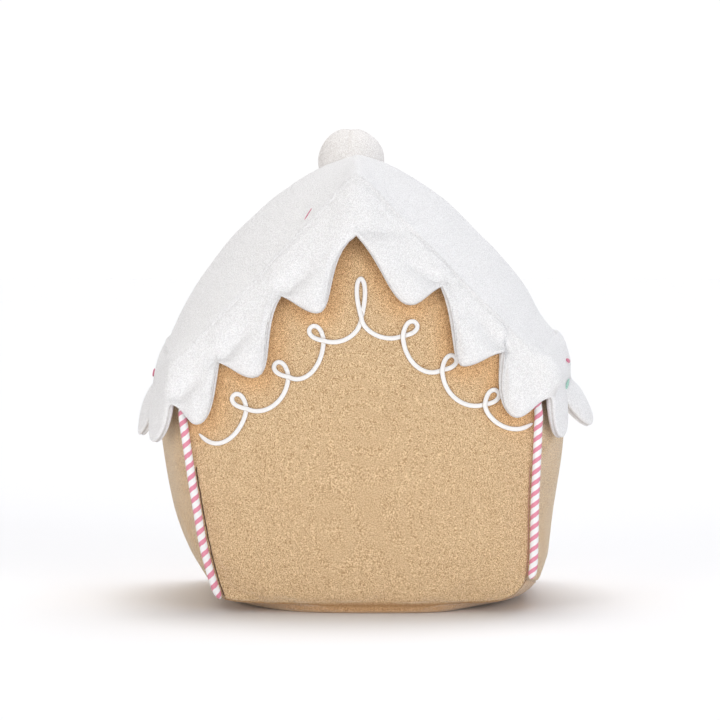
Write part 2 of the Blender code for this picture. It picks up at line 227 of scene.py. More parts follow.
class Graph:
    """The node tree of a material or of the world."""

    def __init__(self, owner: Material | bpy.types.World) -> None:
        """Turns the owner's nodes on."""
        self.owner = owner
        self.owner.use_nodes = True
        self.tree = owner.node_tree

    def node(
        self,
        kind: str,
        settings: dict[str, object] | None = None,
        inputs: dict[str | int, object] | None = None,
        output: str | int = 0,
    ) -> Wire:
        """Adds one node.

        Args:
            kind: The node's type, such as ShaderNodeTexNoise.
            settings: Its properties, set first; "stops" fills a colour ramp.
            inputs: A value or a Wire for each input socket, by name or by number.
            output: The output socket to hand back.

        Returns:
            That output, as a Wire.
        """
        made = self.tree.nodes.new(kind)
        for name, value in (settings or {}).items():
            if name == "stops":
                self._fill_ramp(made.color_ramp, value)
            else:
                setattr(made, name, value)
        for name, value in (inputs or {}).items():
            self.feed(made.inputs[name], value)
        return Wire(self, made.outputs[output])

    def _fill_ramp(self, ramp: bpy.types.ColorRamp, stops: Iterable[tuple[float, Colour]]) -> None:
        """Gives a colour ramp its stops.

        Args:
            ramp: The ramp.
            stops: Pairs of place and colour.
        """
        for index, (place, colour) in enumerate(stops):
            stop = ramp.elements[index] if index < 2 else ramp.elements.new(place)
            stop.position = place
            stop.color = (*colour, 1.0)

    def feed(self, socket: bpy.types.NodeSocket, value: object) -> None:
        """Links a Wire to a socket, or sets the socket's own value.

        Args:
            socket: The input socket.
            value: A Wire, a number or a colour.
        """
        if isinstance(value, Wire):
            self.tree.links.new(value.socket, socket)
        elif isinstance(value, tuple) and socket.type == "RGBA":
            socket.default_value = (*value, 1.0)
        else:
            socket.default_value = value

    def place(self, scale: Colour = WHITE) -> Wire:
        """Returns the piece's own coordinates, stretched by scale."""
        here = self.node("ShaderNodeTexCoord", output="Object")
        return self.node("ShaderNodeMapping", inputs={"Vector": here, "Scale": scale})

    def grain(self, where: Wire, size: float, detail: float = 2.0) -> Wire:
        """Adds cloudy noise.

        Args:
            where: The coordinates that it is read at.
            size: The width of its grains, in metres.
            detail: How many finer layers it has.

        Returns:
            Its value, from 0 to 1.
        """
        inputs = {"Vector": where, "Scale": 1.0 / size, "Detail": detail, "Roughness": 0.55}
        return self.node("ShaderNodeTexNoise", inputs=inputs)

    def blend(self, share: Value, first: object, second: object, way: str = "MIX") -> Wire:
        """Mixes two colours.

        Args:
            share: 0 for the first colour and 1 for the second.
            first: A Wire or a colour.
            second: A Wire or a colour.
            way: MIX, or MULTIPLY for the first colour times the second.

        Returns:
            The mixed colour.
        """
        settings = {"data_type": "RGBA", "blend_type": way}
        return self.node("ShaderNodeMix", settings, {"Factor": share, 6: first, 7: second}, 2)

    def cord_chart(self) -> tuple[Wire, Wire]:
        """Returns how far round and how far along a tube its surface lies."""
        chart = {0: self.node("ShaderNodeUVMap", {"uv_map": CHART})}
        return tuple(self.node("ShaderNodeSeparateXYZ", inputs=chart, output=i) for i in (0, 1))

    def mark(self, name: str) -> Wire:
        """Returns the piece's own painted value of that name."""
        return self.node("ShaderNodeAttribute", {"attribute_name": name}, output="Fac")

    def dress(self, colour: object, height: Wire, relief: float, **constants: object) -> Material:
        """Feeds the shader.

        Args:
            colour: The base colour, as a Wire or a colour.
            height: The relief's height, about 0 to 1.
            relief: How deep that relief is, in metres.
            constants: Values of the shader's own sockets, by name with _ for a space.

        Returns:
            The finished material.
        """
        shape = {"Height": height, "Distance": relief, "Strength": 1.0}
        shader = self.tree.nodes["Principled BSDF"]
        self.feed(shader.inputs["Base Color"], colour)
        self.feed(shader.inputs["Normal"], self.node("ShaderNodeBump", inputs=shape))
        for name, value in constants.items():
            self.feed(shader.inputs[name.replace("_", " ")], value)
        return self.owner


@dataclass(frozen=True)
class NapFinish:
    """Short-pile cloth: a mottled nap with soft clumps, with painted shade under the cover's edge,
    on the base, and in seams and creases.
    """

    name: str
    shade: Colour
    middle: Colour
    light: Colour
    # The colour of painted shade in seams and creases, through the sewn mark.
    sewn: Colour
    # The tint of painted shade under the cover's edge and along the base.
    painted_shade: Colour
    fuzz: Colour
    grain_size: float
    clump_size: float
    relief: float
    sheen: float
    contrast: float = 1.8
    clump_share: float = 0.3
    fleck_share: float = 0.65
    stretch: Colour = (1.0, 1.0, 0.8)

    def material(self) -> Material:
        """Returns the cloth as a material."""
        graph = Graph(bpy.data.materials.new(self.name))
        where = graph.place(self.stretch)
        nap = graph.grain(where, self.grain_size, 1.0)
        clumps = graph.grain(where, self.clump_size, 2.0)
        flecks = graph.grain(where, self.grain_size * self.fleck_share, 0.0)
        tone = (flecks - 0.5) * self.contrast + (clumps - 0.5) * self.clump_share + 0.5
        stops = ((0.12, self.shade), (0.5, self.middle), (0.88, self.light))
        colour = graph.node("ShaderNodeValToRGB", {"stops": stops}, {"Fac": tone})
        # Painted shade: tinted under the cover's edge and on the base, then darkened in seams and
        # creases.
        colour = graph.blend(graph.mark("painted_shaded"), colour, self.painted_shade, "MULTIPLY")
        colour = graph.blend(graph.mark("sewn"), colour, self.sewn)
        return graph.dress(
            colour,
            nap,
            self.relief,
            Roughness=0.95,
            Specular_IOR_Level=0.15,
            Sheen_Weight=self.sheen,
            Sheen_Roughness=0.35,
            Sheen_Tint=self.fuzz,
        )


@dataclass(frozen=True)
class StripeFinish:
    """Woven tape with slanting stripes that follow the cord's own UV map."""

    name: str
    stripe: Colour
    ground: Colour
    share: float = 0.44
    twist: float = 1.6
    softness: float = 0.05
    fuzz_size: float = 0.0012
    fuzz_share: float = 0.12
    weave: float = 0.0004
    wear: float = 0.5
    relief: float = 0.00012

    def material(self) -> Material:
        """Returns the striped tape as a material."""
        graph = Graph(bpy.data.materials.new(self.name))
        turn, along = graph.cord_chart()
        fuzz = graph.grain(graph.place(), self.fuzz_size, 2.0)
        phase = (along - turn * self.twist + (fuzz - 0.5) * self.fuzz_share).fraction()
        rising = phase.between(0.0, self.softness)
        falling = 1.0 - phase.between(self.share, self.share + self.softness)
        threads = graph.grain(graph.place(), self.weave, 1.0)
        worn = (threads - 0.5) * self.wear + 1.0
        colour = graph.blend(rising * falling * worn, self.ground, self.stripe)
        return graph.dress(
            colour, threads, self.relief, Roughness=0.8, Sheen_Weight=0.1, Specular_IOR_Level=0.2
        )


@dataclass(frozen=True)
class SatinFinish:
    """Satin stitch: close parallel threads across a line, from the line's UV map."""

    name: str
    thread: Colour
    gap: Colour
    # Painted shade along both sides of the line, where it sinks into the cloth.
    side_shade: Colour | None = None
    pitch: float = 0.00042
    slant: float = 1.5
    stray_size: float = 0.0009
    stray_share: float = 1.6
    gap_end: float = 0.45
    side_shade_reach: Reach = (0.55, 0.95)
    relief: float = 0.00010

    def material(self) -> Material:
        """Returns the stitching as a material."""
        graph = Graph(bpy.data.materials.new(self.name))
        turn, along = graph.cord_chart()
        stray = graph.grain(graph.place(), self.stray_size, 2.0)
        phase = along / self.pitch + turn * self.slant + stray * self.stray_share
        ridge = (phase * (2.0 * math.pi)).sine() * 0.5 + 0.5
        colour = graph.blend(ridge.between(0.0, self.gap_end), self.gap, self.thread)
        # Painted shade on the line's two sides.
        if self.side_shade:
            edge = (turn * (4.0 * math.pi) + 0.5 * math.pi).sine()
            colour = graph.blend(edge.between(*self.side_shade_reach), colour, self.side_shade)
        return graph.dress(
            colour,
            ridge,
            self.relief,
            Roughness=0.5,
            Sheen_Weight=0.15,
            Anisotropic=0.4,
            Specular_IOR_Level=0.4,
        )


@dataclass(frozen=True)
class FloorFinish:
    """Plain white studio sweep."""

    name: str
    white: Colour

    def material(self) -> Material:
        """Returns the sweep as a material."""
        graph = Graph(bpy.data.materials.new(self.name))
        paper = graph.grain(graph.place(), 0.004, 1.0)
        return graph.dress(self.white, paper, 0.00001, Roughness=0.9, Specular_IOR_Level=0.1)


FLEECE = NapFinish(
    name="tan_fleece_nap",
    shade=(0.440, 0.257, 0.126),
    middle=(0.720, 0.493, 0.278),
    light=(0.930, 0.715, 0.447),
    # Painted shade: the seam colour, and the tint under the cover's edge and on the base.
    sewn=(0.300, 0.150, 0.060),
    painted_shade=(1.02, 0.88, 0.75),
    fuzz=(1.0, 0.94, 0.85),
    grain_size=0.00040,
    clump_size=0.012,
    relief=0.0006,
    sheen=1.0,
    contrast=5.5,
    clump_share=0.05,
)
ICING = NapFinish(
    name="icing_plush_nap",
    shade=(0.795, 0.790, 0.795),
    middle=(0.872, 0.867, 0.875),
    light=(0.925, 0.923, 0.928),
    # Painted shade in the cover's creases and in the grooves beside its gable seams.
    sewn=(0.54, 0.50, 0.48),
    painted_shade=WHITE,
    fuzz=WHITE,
    grain_size=0.00060,
    clump_size=0.010,
    relief=0.0006,
    sheen=0.05,
    contrast=9.0,
    clump_share=0.35,
)
CREAM = replace(
    ICING,
    name="pompom_plush_nap",
    shade=(0.790, 0.760, 0.740),
    middle=(0.875, 0.852, 0.832),
    light=(0.920, 0.900, 0.885),
    # Painted shade in the ball's seam grooves.
    sewn=(0.60, 0.55, 0.50),
)
CANDY_STRIPE = StripeFinish("candy_stripe_tape", (0.76, 0.27, 0.37), ground=(0.90, 0.89, 0.91))
# Its side colour is painted shade where the line sinks into the fleece.
WHITE_STITCH = SatinFinish(
    "white_satin_stitch", (1.0, 0.99, 0.985), gap=(0.94, 0.92, 0.89), side_shade=(0.42, 0.25, 0.12)
)
PINK_STITCH = SatinFinish("pink_satin_stitch", (0.80, 0.22, 0.34), gap=(0.50, 0.10, 0.18))
MINT_STITCH = SatinFinish("mint_satin_stitch", (0.50, 0.80, 0.68), gap=(0.26, 0.50, 0.42))
# Dark lines laid in the cord seams, as painted shade of the gap there.
DEEP_SEAM_SHADE = SatinFinish("deep_seam_shade_line", (0.085, 0.030, 0.022), gap=(0.03, 0.01, 0.01))
SOFT_SEAM_SHADE = SatinFinish("soft_seam_shade_line", (0.62, 0.34, 0.25), gap=(0.42, 0.22, 0.15))
SWEEP = FloorFinish("white_sweep", white=(0.957, 0.96, 0.972))


# The sewn form


class Side(Enum):
    """A side of the house, as seen from in front of it."""

    LEFT = -1.0
    RIGHT = 1.0

    @classmethod
    def of(cls, x: float) -> "Side":
        """Returns the side that x lies on."""
        return cls.RIGHT if x > 0.0 else cls.LEFT


class End(Enum):
    """A gable end of the house."""

    FRONT = -1.0
    BACK = 1.0


@dataclass(frozen=True)
class HouseForm:
    """The sewn sizes of the block and its roof, and the formulas that swell its panels."""

    half_depth: float = 0.062
    base_half_width: float = 0.0700
    wall_spread: float = 0.0945
    spread_top: float = 0.112
    wall_bulge: float = 0.0178
    right_slim: float = 0.0027
    slim_height: float = 0.040
    slim_reach: float = 0.030
    bulge_start: float = 0.002
    bulge_reach: float = 0.028
    eave_tuck: float = 0.79
    tuck_power: int = 6
    panel_swell: float = 0.008
    pillow_power: float = 2.4
    lean_at_base: float = 0.0062
    lean_shift: float = 0.0098
    lean_reach: float = 0.055
    gable_eave: float = 0.113
    gable_apex: float = 0.196
    crown_eave: float = 0.121
    crown_rise: float = 0.0805
    crown_side_power: float = 1.25
    crown_top_power: float = 1.6
    ridge_peak: float = 0.002
    ridge_width: float = 0.010
    ball_x: float = -0.0063
    ball_z: float = 0.2042
    base_seam: float = 0.0040
    seam_wave: float = 0.0005
    wave_length: float = 0.017
    base_bow: float = 0.0072
    bow_height: float = 5.0
    bow_fade: tuple[Reach, Reach] = ((0.30, 1.05), (0.20, 0.85))
    base_rolls: tuple[float, float] = (0.05, 0.75)
    right_roll: Reach = (0.4, 0.95)
    left_roll: Reach = (0.5, 1.0)
    left_roll_share: float = 0.3
    base_rounding: float = 3.0
    side_lifts: Sides = (0.0, 0.0030)
    corner_lifts: Sides = (0.0018, 0.0080)
    corner_powers: tuple[float, float] = (12.0, 1.5)
    corner_tucks: Sides = (0.0018, 0.0020)
    tuck_reaches: Sides = (0.0100, 0.0050)
    hidden_gap: float = 0.0012
    piping_bottoms: Sides = (0.0062, 0.0152)

    def pillow(self, share: float) -> float:
        """Returns how far a panel has swollen, from 0 at both of its seams to 1 halfway."""
        return 1.0 - abs(2.0 * share - 1.0) ** self.pillow_power

    def lean(self, z: float) -> float:
        """Returns how far the toy's middle lies to the right at height z."""
        return self.lean_at_base - self.lean_shift * (1.0 - math.exp(-z / self.lean_reach))

    def seam_half_width(self, z: float) -> float:
        """Returns half the distance between the upright seams at height z."""
        return self.base_half_width + self.wall_spread * min(z, self.spread_top)

    def eave(self, v: float) -> float:
        """Returns the eave's height at depth share v."""
        return mix(self.gable_eave, self.crown_eave, self.pillow(v))

    def wall_half_width(self, z: float, v: float) -> float:
        """Finds half the block's width.

        Args:
            z: The height.
            v: The depth share, 0 at the front seam and 1 at the back one.

        Returns:
            The half-width, in metres.
        """
        rise = 1.0 - math.exp(-(z + self.bulge_start) / self.bulge_reach)
        tuck = 1.0 - self.eave_tuck * (z / self.eave(v)) ** self.tuck_power
        return self.seam_half_width(z) + self.wall_bulge * rise * tuck * self.pillow(v)

    def roof_point(self, a: float, v: float) -> Vector:
        """Finds a point of the stuffed slopes.

        Args:
            a: From -1 at the left eave over 0 at the ridge to 1 at the right eave.
            v: The depth share, 0 at the front seam and 1 at the back one.

        Returns:
            The point.
        """
        angle = abs(a) * math.pi / 2.0
        seam_x = abs(a) * self.seam_half_width(self.gable_eave)
        seam_z = mix(self.gable_apex, self.gable_eave, abs(a))
        crown_x = self.wall_half_width(self.crown_eave, 0.5)
        crown_x *= math.sin(angle) ** self.crown_side_power
        rise = max(math.cos(angle), 0.0) ** self.crown_top_power
        crown_z = self.crown_eave + self.crown_rise * rise
        crown_z += self.ridge_peak * math.exp(-crown_x / self.ridge_width)
        swell = self.pillow(v)
        z = mix(seam_z, crown_z, swell)
        x = math.copysign(mix(seam_x, crown_x, swell), a) + self.lean(z)
        return Vector((x, mix(-self.half_depth, self.half_depth, v), z))

    def roof_normal(self, a: float, v: float, step: float = 0.01) -> Vector:
        """Finds which way the slope faces.

        Args:
            a: From -1 at the left eave to 1 at the right eave.
            v: The depth share, 0 at the front seam and 1 at the back one.
            step: How far apart the compared points lie.

        Returns:
            The outward normal.
        """
        across = self.roof_point(min(a + step, 1.0), v) - self.roof_point(max(a - step, -1.0), v)
        along = self.roof_point(a, min(v + step, 1.0)) - self.roof_point(a, max(v - step, 0.0))
        return across.cross(along).normalized()

    def base_seam_z(self, a: float, v: float) -> float:
        """Finds the height of the seam round the base, which lifts at the corners.

        Args:
            a: The share of the width, -1 at the left and 1 at the right.
            v: The depth share, 0 at the front seam and 1 at the back one.

        Returns:
            The height.
        """
        across, along = self.corner_powers
        lift = self.side_lifts[a > 0.0] + self.corner_lifts[a > 0.0] * abs(2.0 * v - 1.0) ** along
        place = Vector((a * self.base_half_width, v * self.half_depth, 0.0))
        wave = self.seam_wave * ripple(place, self.wave_length, 8.0)
        return self.base_seam + wave + lift * abs(a) ** across

    def corner_tuck(self, a: float, z: float) -> float:
        """Finds how far an upright seam draws in just above its lower end.

        Args:
            a: Positive for the right seam, otherwise the left one.
            z: The height.

        Returns:
            The distance.
        """
        side = a > 0.0
        above = max(z - self.base_seam - self.side_lifts[side] - self.corner_lifts[side], 0.0)
        return self.corner_tucks[side] * math.exp(-above / self.tuck_reaches[side])

    def wall_x(self, a: float, v: float, z: float) -> float:
        """Finds x on the block.

        Args:
            a: The share of the width, -1 at the left and 1 at the right.
            v: The depth share, 0 at the front seam and 1 at the back one.
            z: The height.

        Returns:
            The x at that share of the width.
        """
        tuck = self.corner_tuck(a, z) * abs(2.0 * v - 1.0) ** 4
        if a > 0.0:
            tuck += self.right_slim * self.pillow(v) * bell(z - self.slim_height, self.slim_reach)
        return a * (self.wall_half_width(z, v) - tuck) + self.lean(z)

    def upright_seam_x(self, side: Side, z: float, out: float) -> float:
        """Finds x beside an upright seam.

        Args:
            side: Which seam.
            z: The height.
            out: How far outside the seam.

        Returns:
            The x.
        """
        half = self.seam_half_width(z) - self.corner_tuck(side.value, z)
        return side.value * (half + out) + self.lean(z)

    def bow(self, a: float) -> float:
        """Returns how far the base bows out in front, at the share a of its width."""
        return self.base_bow * (1.0 - smoothstep(*self.bow_fade[a > 0.0], abs(a)))

    def base_point(self, a: float, v: float) -> Vector:
        """Finds a point of the base panel, which rolls under and lies flat on the floor.

        Args:
            a: The share of the width, -1 at the left and 1 at the right.
            v: The depth share, 0 at the front seam and 1 at the back one.

        Returns:
            The point.
        """
        z = self.base_seam_z(a, v)
        power = self.base_rounding
        outline = (abs(a) ** power + abs(2.0 * v - 1.0) ** power) ** (1.0 / power)
        round_off = smoothstep(*self.right_roll, a)
        round_off += self.left_roll_share * smoothstep(*self.left_roll, -a)
        roll = mix(*self.base_rolls, round_off)
        inset = min(max((1.0 - outline) / roll, 0.0), 1.0)
        height = z * (1.0 - math.sqrt(1.0 - (1.0 - inset) ** 2))
        y = (2.0 * v - 1.0) * (self.half_depth + self.bow(a))
        return Vector((self.wall_x(a, v, z), y, height))

    def panel_bulge(self, x: float, z: float) -> float:
        """Finds how far the front or back panel stands out of its seams.

        Args:
            x: The place across the panel.
            z: The height.

        Returns:
            The distance.
        """
        a = min(max((x - self.lean(z)) / self.seam_half_width(z), -1.0), 1.0)
        top = mix(self.gable_apex, self.gable_eave, abs(a))
        h = min(max((z - self.base_seam) / (top - self.base_seam), 0.0), 1.0)
        return self.panel_swell * self.pillow((a + 1.0) / 2.0) * self.pillow(h)

    def block_point(self, place: Vector) -> Vector:
        """Finds where a point of the cube from -1 to 1 lies on the stuffed block.

        Args:
            place: A point on the cube's surface.

        Returns:
            The point on the block.
        """
        a, v, h = place.x, (place.y + 1.0) / 2.0, (place.z + 1.0) / 2.0
        if place.z > ON_SEAM:
            return self.roof_point(a, v) - self.roof_normal(a, v) * self.hidden_gap
        if place.z < -ON_SEAM:
            return self.base_point(a, v)
        if abs(a) > ON_SEAM:
            z = mix(self.base_seam_z(a, v), self.eave(v), h)
            return Vector((self.wall_x(a, v, z), mix(-self.half_depth, self.half_depth, v), z))
        z = mix(self.base_seam_z(a, v), mix(self.gable_apex, self.gable_eave, abs(a)), h)
        x = self.wall_x(a, v, z)
        out = self.panel_bulge(x, z) + self.bow(a) * (1.0 - h) ** self.bow_height
        return Vector((x, place.y * (self.half_depth + out), z))


# Making pieces


def finished_piece(name: str, bm: Mesh, finish: Material) -> Piece:
    """Turns a bmesh into a smooth object.

    Args:
        name: The piece's name.
        bm: Its mesh, which is freed.
        finish: Its material.

    Returns:
        The new object, in the scene.
    """
    mesh = bpy.data.meshes.new(name)
    bm.to_mesh(mesh)
    bm.free()
    mesh.materials.append(finish)
    mesh.shade_smooth()
    piece = bpy.data.objects.new(name, mesh)
    bpy.context.scene.collection.objects.link(piece)
    return piece


def corner_name(kind: str, end: End, side: Side) -> str:
    """Returns the name of a piece in the upright seam between a gable end and a side."""
    return f"{kind}_{end.name}_{side.name}".lower()


def hand_over(piece: Piece, slot: str, nodes: Iterable[str]) -> None:
    """Puts a finished piece into the frame.

    Args:
        piece: The piece.
        slot: The record's material slot for it.
        nodes: The CAD nodes that it stands for.
    """
    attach(piece, "root")
    for node in nodes:
        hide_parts(node)
    LOG.info("%s: %d faces, slot %s", piece.name, len(piece.data.polygons), slot)


def swept_tube(
    rings: int, sides: int, place: Callable[[float, float], Vector], along: Callable[[float], float]
) -> Mesh:
    """Makes a closed tube from a cylinder, with a UV map of its turn and its length.

    Args:
        rings: How many rings it has.
        sides: How many sides each ring has.
        place: Gives the point at a share of the length and an angle in radians.
        along: Gives the map's second coordinate at a share of the length.

    Returns:
        The tube's mesh.
    """
    bm = bmesh.new()
    bmesh.ops.create_cone(bm, cap_ends=True, segments=sides, radius1=1.0, radius2=1.0, depth=2.0)
    upright = [edge for edge in bm.edges if abs(edge.verts[0].co.z - edge.verts[1].co.z) > 1.0]
    bmesh.ops.subdivide_edges(bm, edges=upright, cuts=rings - 1)
    chart = bm.loops.layers.uv.new(CHART)
    for face in bm.faces:
        angles = [math.atan2(loop.vert.co.y, loop.vert.co.x) for loop in face.loops]
        turns = [angle / (2.0 * math.pi) % 1.0 for angle in angles]
        wraps = max(turns) - min(turns) > 0.5
        for loop, turn in zip(face.loops, turns):
            turn += 1.0 if wraps and turn < 0.5 else 0.0
            loop[chart].uv = (turn, along((loop.vert.co.z + 1.0) / 2.0))
    for vert in bm.verts:
        share = (vert.co.z + 1.0) / 2.0
        vert.co = place(share, math.atan2(vert.co.y, vert.co.x))
    bmesh.ops.recalc_face_normals(bm, faces=bm.faces)
    return bm


class Trail:
    """A smooth line through points, read at equal steps of its length."""

    def __init__(self, points: list[Vector]) -> None:
        """Measures the line.

        Args:
            points: Its points, in order.
        """
        self.points = points
        self.marks = [0.0]
        for first, last in zip(points, points[1:]):
            self.marks.append(self.marks[-1] + (last - first).length)
        self.length = self.marks[-1]

    def at(self, share: float) -> Vector:
        """Finds a point of the line.

        Args:
            share: How far along the line, from 0 to 1.

        Returns:
            The point.
        """
        wanted = min(max(share, 0.0), 1.0) * self.length
        high = min(max(bisect_right(self.marks, wanted), 1), len(self.marks) - 1)
        low = high - 1
        span = self.marks[high] - self.marks[low]
        return self.points[low].lerp(self.points[high], (wanted - self.marks[low]) / span)

    def heading(self, share: float, reach: float = 0.0006) -> Vector:
        """Returns the direction of travel at a share of the length."""
        step = reach / self.length
        return (self.at(share + step) - self.at(share - step)).normalized()


@dataclass(frozen=True)
class Stuffing:
    """How a sewn shell is blown up by its filling."""

    pressure: float = 4.0
    growth: float = 0.02
    stiffness: float = 12.0
    bending: float = 1.2
    quality: int = 5
    mass: float = 0.15
    frames: int = 20
    limit: float = 0.0028

    def inflate(self, piece: Piece, sewn: list[float]) -> None:
        """Simulates the cloth and keeps the swollen mesh.

        Args:
            piece: The shell, which is changed.
            sewn: How firmly each vertex is held, from 0, free, to 1, sewn down.
        """
        group = piece.vertex_groups.new(name="sewn")
        for index, weight in enumerate(sewn):
            if weight > 0.0:
                group.add([index], weight, "REPLACE")
        start = [vert.co.copy() for vert in piece.data.vertices]
        cloth = piece.modifiers.new("Stuffing", "CLOTH")
        settings = {
            "quality": self.quality,
            "mass": self.mass,
            "use_pressure": True,
            "uniform_pressure_force": self.pressure,
            "tension_stiffness": self.stiffness,
            "compression_stiffness": self.stiffness,
            "bending_stiffness": self.bending,
            "shrink_min": -self.growth,
            "vertex_group_mass": group.name,
        }
        for name, value in settings.items():
            setattr(cloth.settings, name, value)
        cloth.settings.effector_weights.gravity = 0.0
        cloth.collision_settings.use_collision = False
        cloth.point_cache.frame_start = 1
        cloth.point_cache.frame_end = self.frames
        scene = bpy.context.scene
        for step in range(1, self.frames + 1):
            scene.frame_set(step)
        swollen = piece.evaluated_get(bpy.context.evaluated_depsgraph_get()).data
        for vert, first, last in zip(piece.data.vertices, start, swollen.vertices):
            moved = last.co - first
            vert.co = first + moved * min(1.0, self.limit / max(moved.length, self.limit))
        piece.modifiers.remove(cloth)
        piece.vertex_groups.remove(group)
        scene.frame_set(1)


# Embroidery's line


@dataclass(frozen=True)
class IcingLine:
    """Embroidered icing: a flat satin line that swags from loop to loop between two tails."""

    form: HouseForm
    half_width: float = 0.00110
    thickness: float = 0.0012
    sunk: float = 0.0002
    crossing_lift: float = 0.0007
    lift_start: float = 0.001
    lift_reach: float = 0.0060
    left_tail: Flat = (-0.0746, 0.0810)
    left_loops: tuple[Flat, ...] = ((-0.0530, 0.0927), (-0.0341, 0.1071), (-0.0183, 0.1233))
    centre_loop: Flat = (-0.0014, 0.1336)
    right_loops: tuple[Flat, ...] = ((0.0172, 0.1254), (0.0348, 0.1101), (0.0540, 0.0945))
    right_tail: Flat = (0.0760, 0.0857)
    loop_reach: Flat = (0.0058, 0.0058)
    loop_width: float = 0.0031
    centre_reach: Flat = (-0.0003, 0.0173)
    centre_width: float = 0.0024
    sags: tuple[float, ...] = (0.0115, 0.0042, 0.0042, 0.0028, 0.0036, 0.0042, 0.0028, 0.0070)
    steep_handle: Flat = (0.02, 0.75)
    level_handle: float = 0.45
    fray: float = 0.07
    fray_length: float = 0.0009
    end_steepness: float = 70.0
    steps: int = 16
    ring_spacing: float = 0.00045
    sides: int = 12

    def _loop_half(self, node: Flat, hand: float) -> list[Vector]:
        """Draws one side of a teardrop loop.

        Args:
            node: The loop's crossing, where it starts.
            hand: 1 for its right side and -1 for its left one.

        Returns:
            The points after the crossing.
        """
        reach, width = Vector(self.loop_reach), self.loop_width
        if node == self.centre_loop:
            reach, width = Vector(self.centre_reach), self.centre_width
        elif node in self.left_loops:
            reach.x = -reach.x
        beside = Vector((reach.y, -reach.x)).normalized() * width * hand
        turns = [math.pi * step / self.steps / 2.0 for step in range(1, self.steps + 1)]
        return [
            Vector(node)
            + reach * math.sin(turn) ** 2
            + beside * math.sin(2.0 * turn) * math.sin(turn)
            for turn in turns
        ]

    def _swag(self, high: Flat, low: Flat, sag: float) -> list[Vector]:
        """Draws a swag that drops steeply from its inner end and runs out level.

        Args:
            high: Its inner, higher end.
            low: Its outer, lower end.
            sag: How far its handle hangs below the lower end.

        Returns:
            The points from high to low.
        """
        across, drop = high[0] - low[0], high[1] - low[1]
        aside, down = self.steep_handle
        steep = (high[0] - aside * across, high[1] - down * drop)
        level = (low[0] + self.level_handle * across, low[1] - sag)
        steps = self.steps
        return [bezier((high, steep, level, low), step / steps) for step in range(steps + 1)]

    def trail(self) -> tuple[Trail, list[Vector]]:
        """Lays out the line from left to right.

        Returns:
            The line in x and z, and the crossings of its loops.
        """
        loops = (*self.left_loops, self.centre_loop, *self.right_loops)
        stations = (self.left_tail, *loops, self.right_tail)
        path: list[Vector] = []
        for first, last, sag in zip(stations, stations[1:], self.sags):
            rising = last[1] > first[1]
            run = self._swag(last, first, sag)[::-1] if rising else self._swag(first, last, sag)
            if first != self.left_tail:
                path += self._loop_half(first, -1.0)[-2::-1]
            path += run
            if last != self.right_tail:
                path += self._loop_half(last, 1.0)
        return Trail(path), [Vector(node) for node in loops]

    def build(self, end: End, ground: "Ground", finish: Material) -> Piece:
        """Stitches the line onto a gable panel.

        Args:
            end: The gable end.
            ground: The fleece that it is stitched on.
            finish: Its material.

        Returns:
            The stitched line.
        """
        trail, crossings = self.trail()
        rings = int(trail.length / self.ring_spacing)
        passed: dict[int, float] = {}
        once_round = 2.0 * self.loop_width / trail.length

        def lift(share: float) -> float:
            """Finds how far the second pass over a crossing rides on the first.

            Args:
                share: How far along the line, from 0 to 1.

            Returns:
                The height, in metres.
            """
            here = trail.at(share)
            best = 0.0
            for index, crossing in enumerate(crossings):
                away = (here - crossing).length
                if away < self.lift_reach / 2.0:
                    passed.setdefault(index, share)
                if index in passed and share - passed[index] > once_round:
                    fade = 1.0 - smoothstep(self.lift_start, self.lift_reach, away)
                    best = max(best, self.crossing_lift * fade)
            return best

        lifts = [lift(ring / rings) for ring in range(rings + 1)]

        def place(share: float, angle: float) -> Vector:
            """Lays a point of the flat stitched cord on the gable.

            Args:
                share: How far along it, from 0 to 1.
                angle: The turn round it, in radians.

            Returns:
                The point.
            """
            here, heading = trail.at(share), trail.heading(share)
            frayed = 1.0 + self.fray * ripple(Vector((here.x, here.y, angle)), self.fray_length)
            ends = rounded_end(min(share, 1.0 - share), self.end_steepness, 0.02)
            sideways = self.half_width * math.cos(angle) * frayed * ends
            across = Vector((-heading.y, heading.x)) * sideways
            x, z = here.x + across.x, here.y + across.y
            height = self.thickness * (0.5 + 0.5 * math.sin(angle) * ends) - self.sunk
            height += lifts[round(share * rings)]
            return ground.on_gable(end, x, z, height)

        bm = swept_tube(rings, self.sides, place, lambda share: share * trail.length)
        return finished_piece(f"icing_line_{end.name.lower()}", bm, finish)


class Ground:
    """The fleece block's finished surface, for what is sewn onto it."""

    def __init__(self, bm: Mesh, form: HouseForm) -> None:
        """Keeps a search tree of the surface."""
        self.form = form
        self.tree = BVHTree.FromBMesh(bm)

    def on_gable(self, end: End, x: float, z: float, height: float) -> Vector:
        """Finds a point above a gable panel.

        Args:
            end: The gable end.
            x: The place across the panel.
            z: The height.
            height: How far the point stands off the panel.

        Returns:
            The point.
        """
        reach = 2.0 * self.form.half_depth
        inward = Vector((0.0, -end.value, 0.0))
        found = self.tree.ray_cast(Vector((x, end.value * reach, z)), inward)[0]
        y = end.value * self.form.half_depth if found is None else found.y
        return Vector((x, y + end.value * height, z))


# The fleece block


